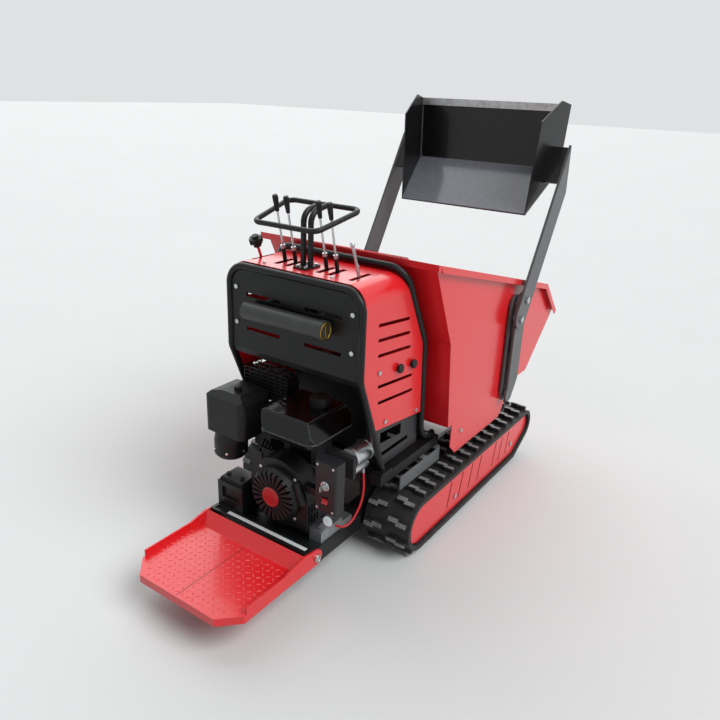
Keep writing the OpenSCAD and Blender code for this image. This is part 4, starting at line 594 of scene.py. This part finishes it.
def tankSeam(work):
    cx, cy = sum(tank["x"]) / 2, sum(tank["y"]) / 2
    hx, hy = (tank["x"][1] - tank["x"][0]) / 2, (tank["y"][1] - tank["y"][0]) / 2
    c = tank["corner"]
    line = []
    for sx, sy, start in ((1, 1, 0), (-1, 1, 90), (-1, -1, 180), (1, -1, 270)):
        for k in range(tank["cornerSteps"] + 1):
            a = math.radians(start + k * 90 / tank["cornerSteps"])
            x = cx + sx * (hx - c) + c * math.cos(a)
            y = cy + sy * (hy - c) + c * math.sin(a)
            line.append(Vector((x, y, tank["z"])))
    upward = Vector((0, 0, 1))
    rings = []
    for i, p in enumerate(line):
        out = (line[(i + 1) % len(line)] - line[i - 1]).cross(upward).normalized()
        rings.append([work.verts.new(p + out * point.x + upward * point.y * tank["beadHeight"])
                      for point in circle(tank["bead"], tank["beadSides"])])
    for i, ring in enumerate(rings):
        ahead = rings[(i + 1) % len(rings)]
        for k in range(tank["beadSides"]):
            n = (k + 1) % tank["beadSides"]
            work.faces.new([ring[k], ahead[k], ahead[n], ring[n]])


addPiece("tank_seam", tankSeam, "blackTankEnamel", "chassis")

# bezel of the key switch and screws on the control box
box = {"face": -0.570, "axis": (-1, 0, 0), "key": (-0.233, 0.392), "keySides": 28, "screwSides": 14,
       "bezel": [(0.0092, 0.0), (0.0155, 0.0), (0.0155, 0.0022), (0.0140, 0.0034), (0.0105, 0.0034),
                 (0.0092, 0.002)],
       "screw": [(0.0042, 0), (0.0042, 0.0018), (0.0032, 0.0026), (0, 0.0026)],
       "corners": ((-0.262, 0.458), (-0.204, 0.458), (-0.262, 0.310), (-0.204, 0.310))}


def boxTrim(work):
    turned(work, box["bezel"], (box["face"], *box["key"]), box["axis"], box["keySides"])
    for corner in box["corners"]:
        turned(work, box["screw"], (box["face"], *corner), box["axis"], box["screwSides"])


addPiece("control_box_trim", boxTrim, "zincPlatedSteel", "chassis")

# two raised bands round the starter's body
starter = {"y": -0.208, "z": 0.405, "axis": (1, 0, 0), "sides": 36,
           "bands": [(-0.330, [(0.0340, 0.0), (0.0352, 0.001), (0.0352, 0.007), (0.0340, 0.008)]),
                     (-0.405, [(0.0340, 0.0), (0.0350, 0.001), (0.0350, 0.005), (0.0340, 0.006)])]}


def starterTrim(work):
    for x, profile in starter["bands"]:
        turned(work, profile, (x, starter["y"], starter["z"]), starter["axis"], starter["sides"])


addPiece("starter_trim", starterTrim, "zincPlatedSteel", "chassis")

# copper-coloured terminals on the solenoid's rear end
terminal = {"x": -0.404, "y": (-0.221, -0.207), "z": 0.359, "axis": (-1, 0, 0), "sides": 12,
            "profile": [(0.0052, 0), (0.0052, 0.004), (0.0032, 0.0046), (0.0032, 0.011), (0.0024, 0.012),
                        (0, 0.012)]}


def terminals(work):
    for y in terminal["y"]:
        place = (terminal["x"], y, terminal["z"])
        turned(work, terminal["profile"], place, terminal["axis"], terminal["sides"])


addPiece("starter_terminals", terminals, "copperTerminal", "chassis")

# gold-coloured ring with a grip bar at the document tube's end
tubeEnd = {"place": (-0.480, -0.155, 0.838), "axis": (0, -1, 0), "sides": 40,
           "ring": [(0.0215, 0.0), (0.0265, 0.0), (0.0272, 0.0012), (0.0265, 0.0026), (0.0215, 0.0026),
                    (0.0208, 0.0014)],
           "grip": {"low": (-0.4835, -0.1575, 0.8195), "high": (-0.4765, -0.1552, 0.8565), "edge": 0.0006}}


def tubeRing(work):
    turned(work, tubeEnd["ring"], tubeEnd["place"], tubeEnd["axis"], tubeEnd["sides"])
    block(work, **tubeEnd["grip"])


addPiece("document_tube_ring", tubeRing, "goldAnodisedAluminium", "chassis")

# two black knobs on the cowl's right side
knob = {"y": -0.262, "xz": ((-0.236, 0.676), (-0.152, 0.667)), "axis": (0, -1, 0), "sides": 24,
        "profile": [(0.009, 0.0), (0.009, 0.004), (0.0145, 0.0055), (0.0155, 0.0075), (0.0155, 0.0125),
                    (0.0135, 0.015), (0.006, 0.016), (0, 0.016)]}


def cowlKnobs(work):
    for x, z in knob["xz"]:
        turned(work, knob["profile"], (x, knob["y"], z), knob["axis"], knob["sides"])


addPiece("cowl_knobs", cowlKnobs, "mouldedBlackAbs", "chassis")

# small bolts in the cowl's top
cowlBolt = {"z": 0.978, "xy": ((-0.411, -0.122), (-0.408, 0.144), (-0.241, -0.095), (-0.241, 0.095)),
            "axis": (0, 0, 1), "sides": 12,
            "profile": [(0.0075, 0), (0.0075, 0.0012), (0.0055, 0.0016), (0.0055, 0.0045), (0.0042, 0.0054),
                        (0, 0.0054)]}


def cowlBolts(work):
    for x, y in cowlBolt["xy"]:
        turned(work, cowlBolt["profile"], (x, y, cowlBolt["z"]), cowlBolt["axis"], cowlBolt["sides"])


addPiece("cowl_bolts", cowlBolts, "zincPlatedSteel", "chassis")

# weld beads along the bucket's inner corners, from its lip over the bend to its top, as (x, z);
# the runs' last two numbers lift a bead off the sheet, and the sides flare forward and up
weld = {"lip": (0.6305, 1.057), "bend": (0.8375, 1.219), "top": (0.8445, 1.469),
        "runs": (("lip", "bend", -0.0046, 0.0055), ("bend", "top", -0.0062, 0.0)),
        "halfWidth": 0.284, "flareX": 0.16, "flareZ": 0.04, "sheet": 0.005, "stand": 0.0008,
        "start": 0.015, "share": 0.955, "steps": 60, "sides": 8,
        "radius": 0.0030, "ripple": 0.0005, "rippleStep": 2.1}


def bucketWelds(work):
    for sign in (-1, 1):
        for start, end, inX, inZ in weld["runs"]:
            a, b = weld[start], weld[end]
            points, radii = [], []
            for k in range(weld["steps"] + 1):
                t = weld["start"] + weld["share"] * k / weld["steps"]
                x, z = a[0] + (b[0] - a[0]) * t + inX, a[1] + (b[1] - a[1]) * t + inZ
                flare = weld["flareX"] * (x - weld["lip"][0]) + weld["flareZ"] * (z - weld["lip"][1])
                y = weld["halfWidth"] + flare - weld["sheet"] - weld["stand"]
                points.append((x, sign * y, z))
                radii.append(weld["radius"] + weld["ripple"] * math.sin(k * weld["rippleStep"]))
            bar(work, points, radii, weld["sides"])


addPiece("bucket_welds", bucketWelds, "weldedBeadCoat", "loader_body")

# spring clip rings at the platform's pins
clip = {"x": -0.578, "y": 0.2193, "z": 0.130, "ring": 0.012, "wire": 0.0011, "steps": 24, "sides": 6}


def clipRings(work):
    for sign in (-1, 1):
        points = [(clip["x"] + point.x, sign * clip["y"], clip["z"] + point.y)
                  for point in circle(clip["ring"], clip["steps"])]
        bar(work, points + points[:1], [clip["wire"]] * (clip["steps"] + 1), clip["sides"])


addPiece("platform_clip_rings", clipRings, "zincPlatedSteel", "platform_body")

# lid of the battery
lid = {"low": (-0.578, 0.101, 0.2718), "high": (-0.502, 0.192, 0.2765), "edge": 0.0012}
addPiece("battery_lid", lambda work: block(work, **lid), "mouldedLidAbs", "chassis")

# clamp screws on the air cleaner's bowl
bowl = {"x": -0.503, "y": 0.219, "z": 0.345, "radius": 0.0568, "angles": (150, 210, 270), "sides": 12,
        "profile": [(0.005, 0), (0.005, 0.004), (0.0035, 0.005), (0, 0.005)]}


def bowlScrews(work):
    for angle in bowl["angles"]:
        a = math.radians(angle)
        x = bowl["x"] + bowl["radius"] * math.cos(a)
        y = bowl["y"] + bowl["radius"] * math.sin(a)
        turned(work, bowl["profile"], (x, y, bowl["z"]), (math.cos(a), math.sin(a), 0), bowl["sides"])


addPiece("bowl_screws", bowlScrews, "zincPlatedSteel", "chassis")

# hexagon bolts through the hopper's skirts
skirtBolt = {"x": 0.114, "y": 0.337, "z": 0.338, "sides": 6,
             "profile": [(0.010, 0), (0.010, 0.0015), (0.0075, 0.002), (0.0075, 0.0065), (0.006, 0.0075),
                         (0, 0.0075)]}


def skirtBolts(work):
    for sign in (-1, 1):
        place = (skirtBolt["x"], sign * skirtBolt["y"], skirtBolt["z"])
        turned(work, skirtBolt["profile"], place, (0, sign, 0), skirtBolt["sides"])


addPiece("skirt_bolts", skirtBolts, "zincPlatedSteel", "hopper_body", smooth=False)
print("pieces added")

# concrete floor, trowelled smooth: pale and matt, with faint broad clouds
floor = {"tone": "d0d1d1", "shade": "c9cbcb", "patchMm": 1111, "roughness": 0.75, "size": 80}
mat, tree, shader, place = newMaterial("trowelledConcrete")
cloud = addNode(tree, "ShaderNodeTexNoise", {
    "Vector": place, "Scale": 1000 / floor["patchMm"], "Detail": 8.0, "Roughness": 0.6})
tone = addNode(tree, "ShaderNodeMix", {
    0: cloud.outputs[0], 6: linear(floor["tone"]), 7: linear(floor["shade"])}, data_type="RGBA")
tree.links.new(tone.outputs[2], shader.inputs["Base Color"])
shader.inputs["Roughness"].default_value = floor["roughness"]
mesh = bpy.data.meshes.new("floor")
s = floor["size"] / 2
mesh.from_pydata([(-s, -s, 0), (s, -s, 0), (s, s, 0), (-s, s, 0)], [], [(0, 1, 2, 3)])
mesh.materials.append(mat)
ground = bpy.data.objects.new("floor", mesh)
scene.collection.objects.link(ground)

# soft sky, brighter where it is seen or mirrored than where it lights
sky = {"tone": "f4f6f8", "light": 0.35, "seen": 0.82}
world = bpy.data.worlds.new("paleSky")
scene.world = world
world.use_nodes = True
tree = world.node_tree
background = tree.nodes["Background"]
path = addNode(tree, "ShaderNodeLightPath").outputs
mirrored = addNode(tree, "ShaderNodeMath", {
    0: path["Is Camera Ray"], 1: path["Is Glossy Ray"]}, operation="MAXIMUM")
seen = addNode(tree, "ShaderNodeMath", {
    0: mirrored.outputs[0], 1: path["Is Transmission Ray"]}, operation="MAXIMUM")
strength = addNode(tree, "ShaderNodeMapRange", {
    "Value": seen.outputs[0], 1: 0.0, 2: 1.0, 3: sky["light"], 4: sky["seen"]})
tree.links.new(strength.outputs[0], background.inputs["Strength"])
background.inputs["Color"].default_value = linear(sky["tone"])

# key light on the right, and a broad soft one ahead on the left that gives a sheen to what points up
lights = {"key": {"from": (0.05, -0.9, 1.0), "spread": 40, "strength": 2.5},
          "sheen": {"from": (0.52, 0.55, 0.72), "spread": 70, "strength": 1.7}}
for name, spec in lights.items():
    lamp = bpy.data.objects.new(name, bpy.data.lights.new(name, "SUN"))
    lamp.data.angle = math.radians(spec["spread"])
    lamp.data.energy = spec["strength"]
    lamp.rotation_euler = (-Vector(spec["from"])).to_track_quat("-Z", "Y").to_euler()
    scene.collection.objects.link(lamp)
scene.view_settings.view_transform = "Standard"
print("light and floor set")
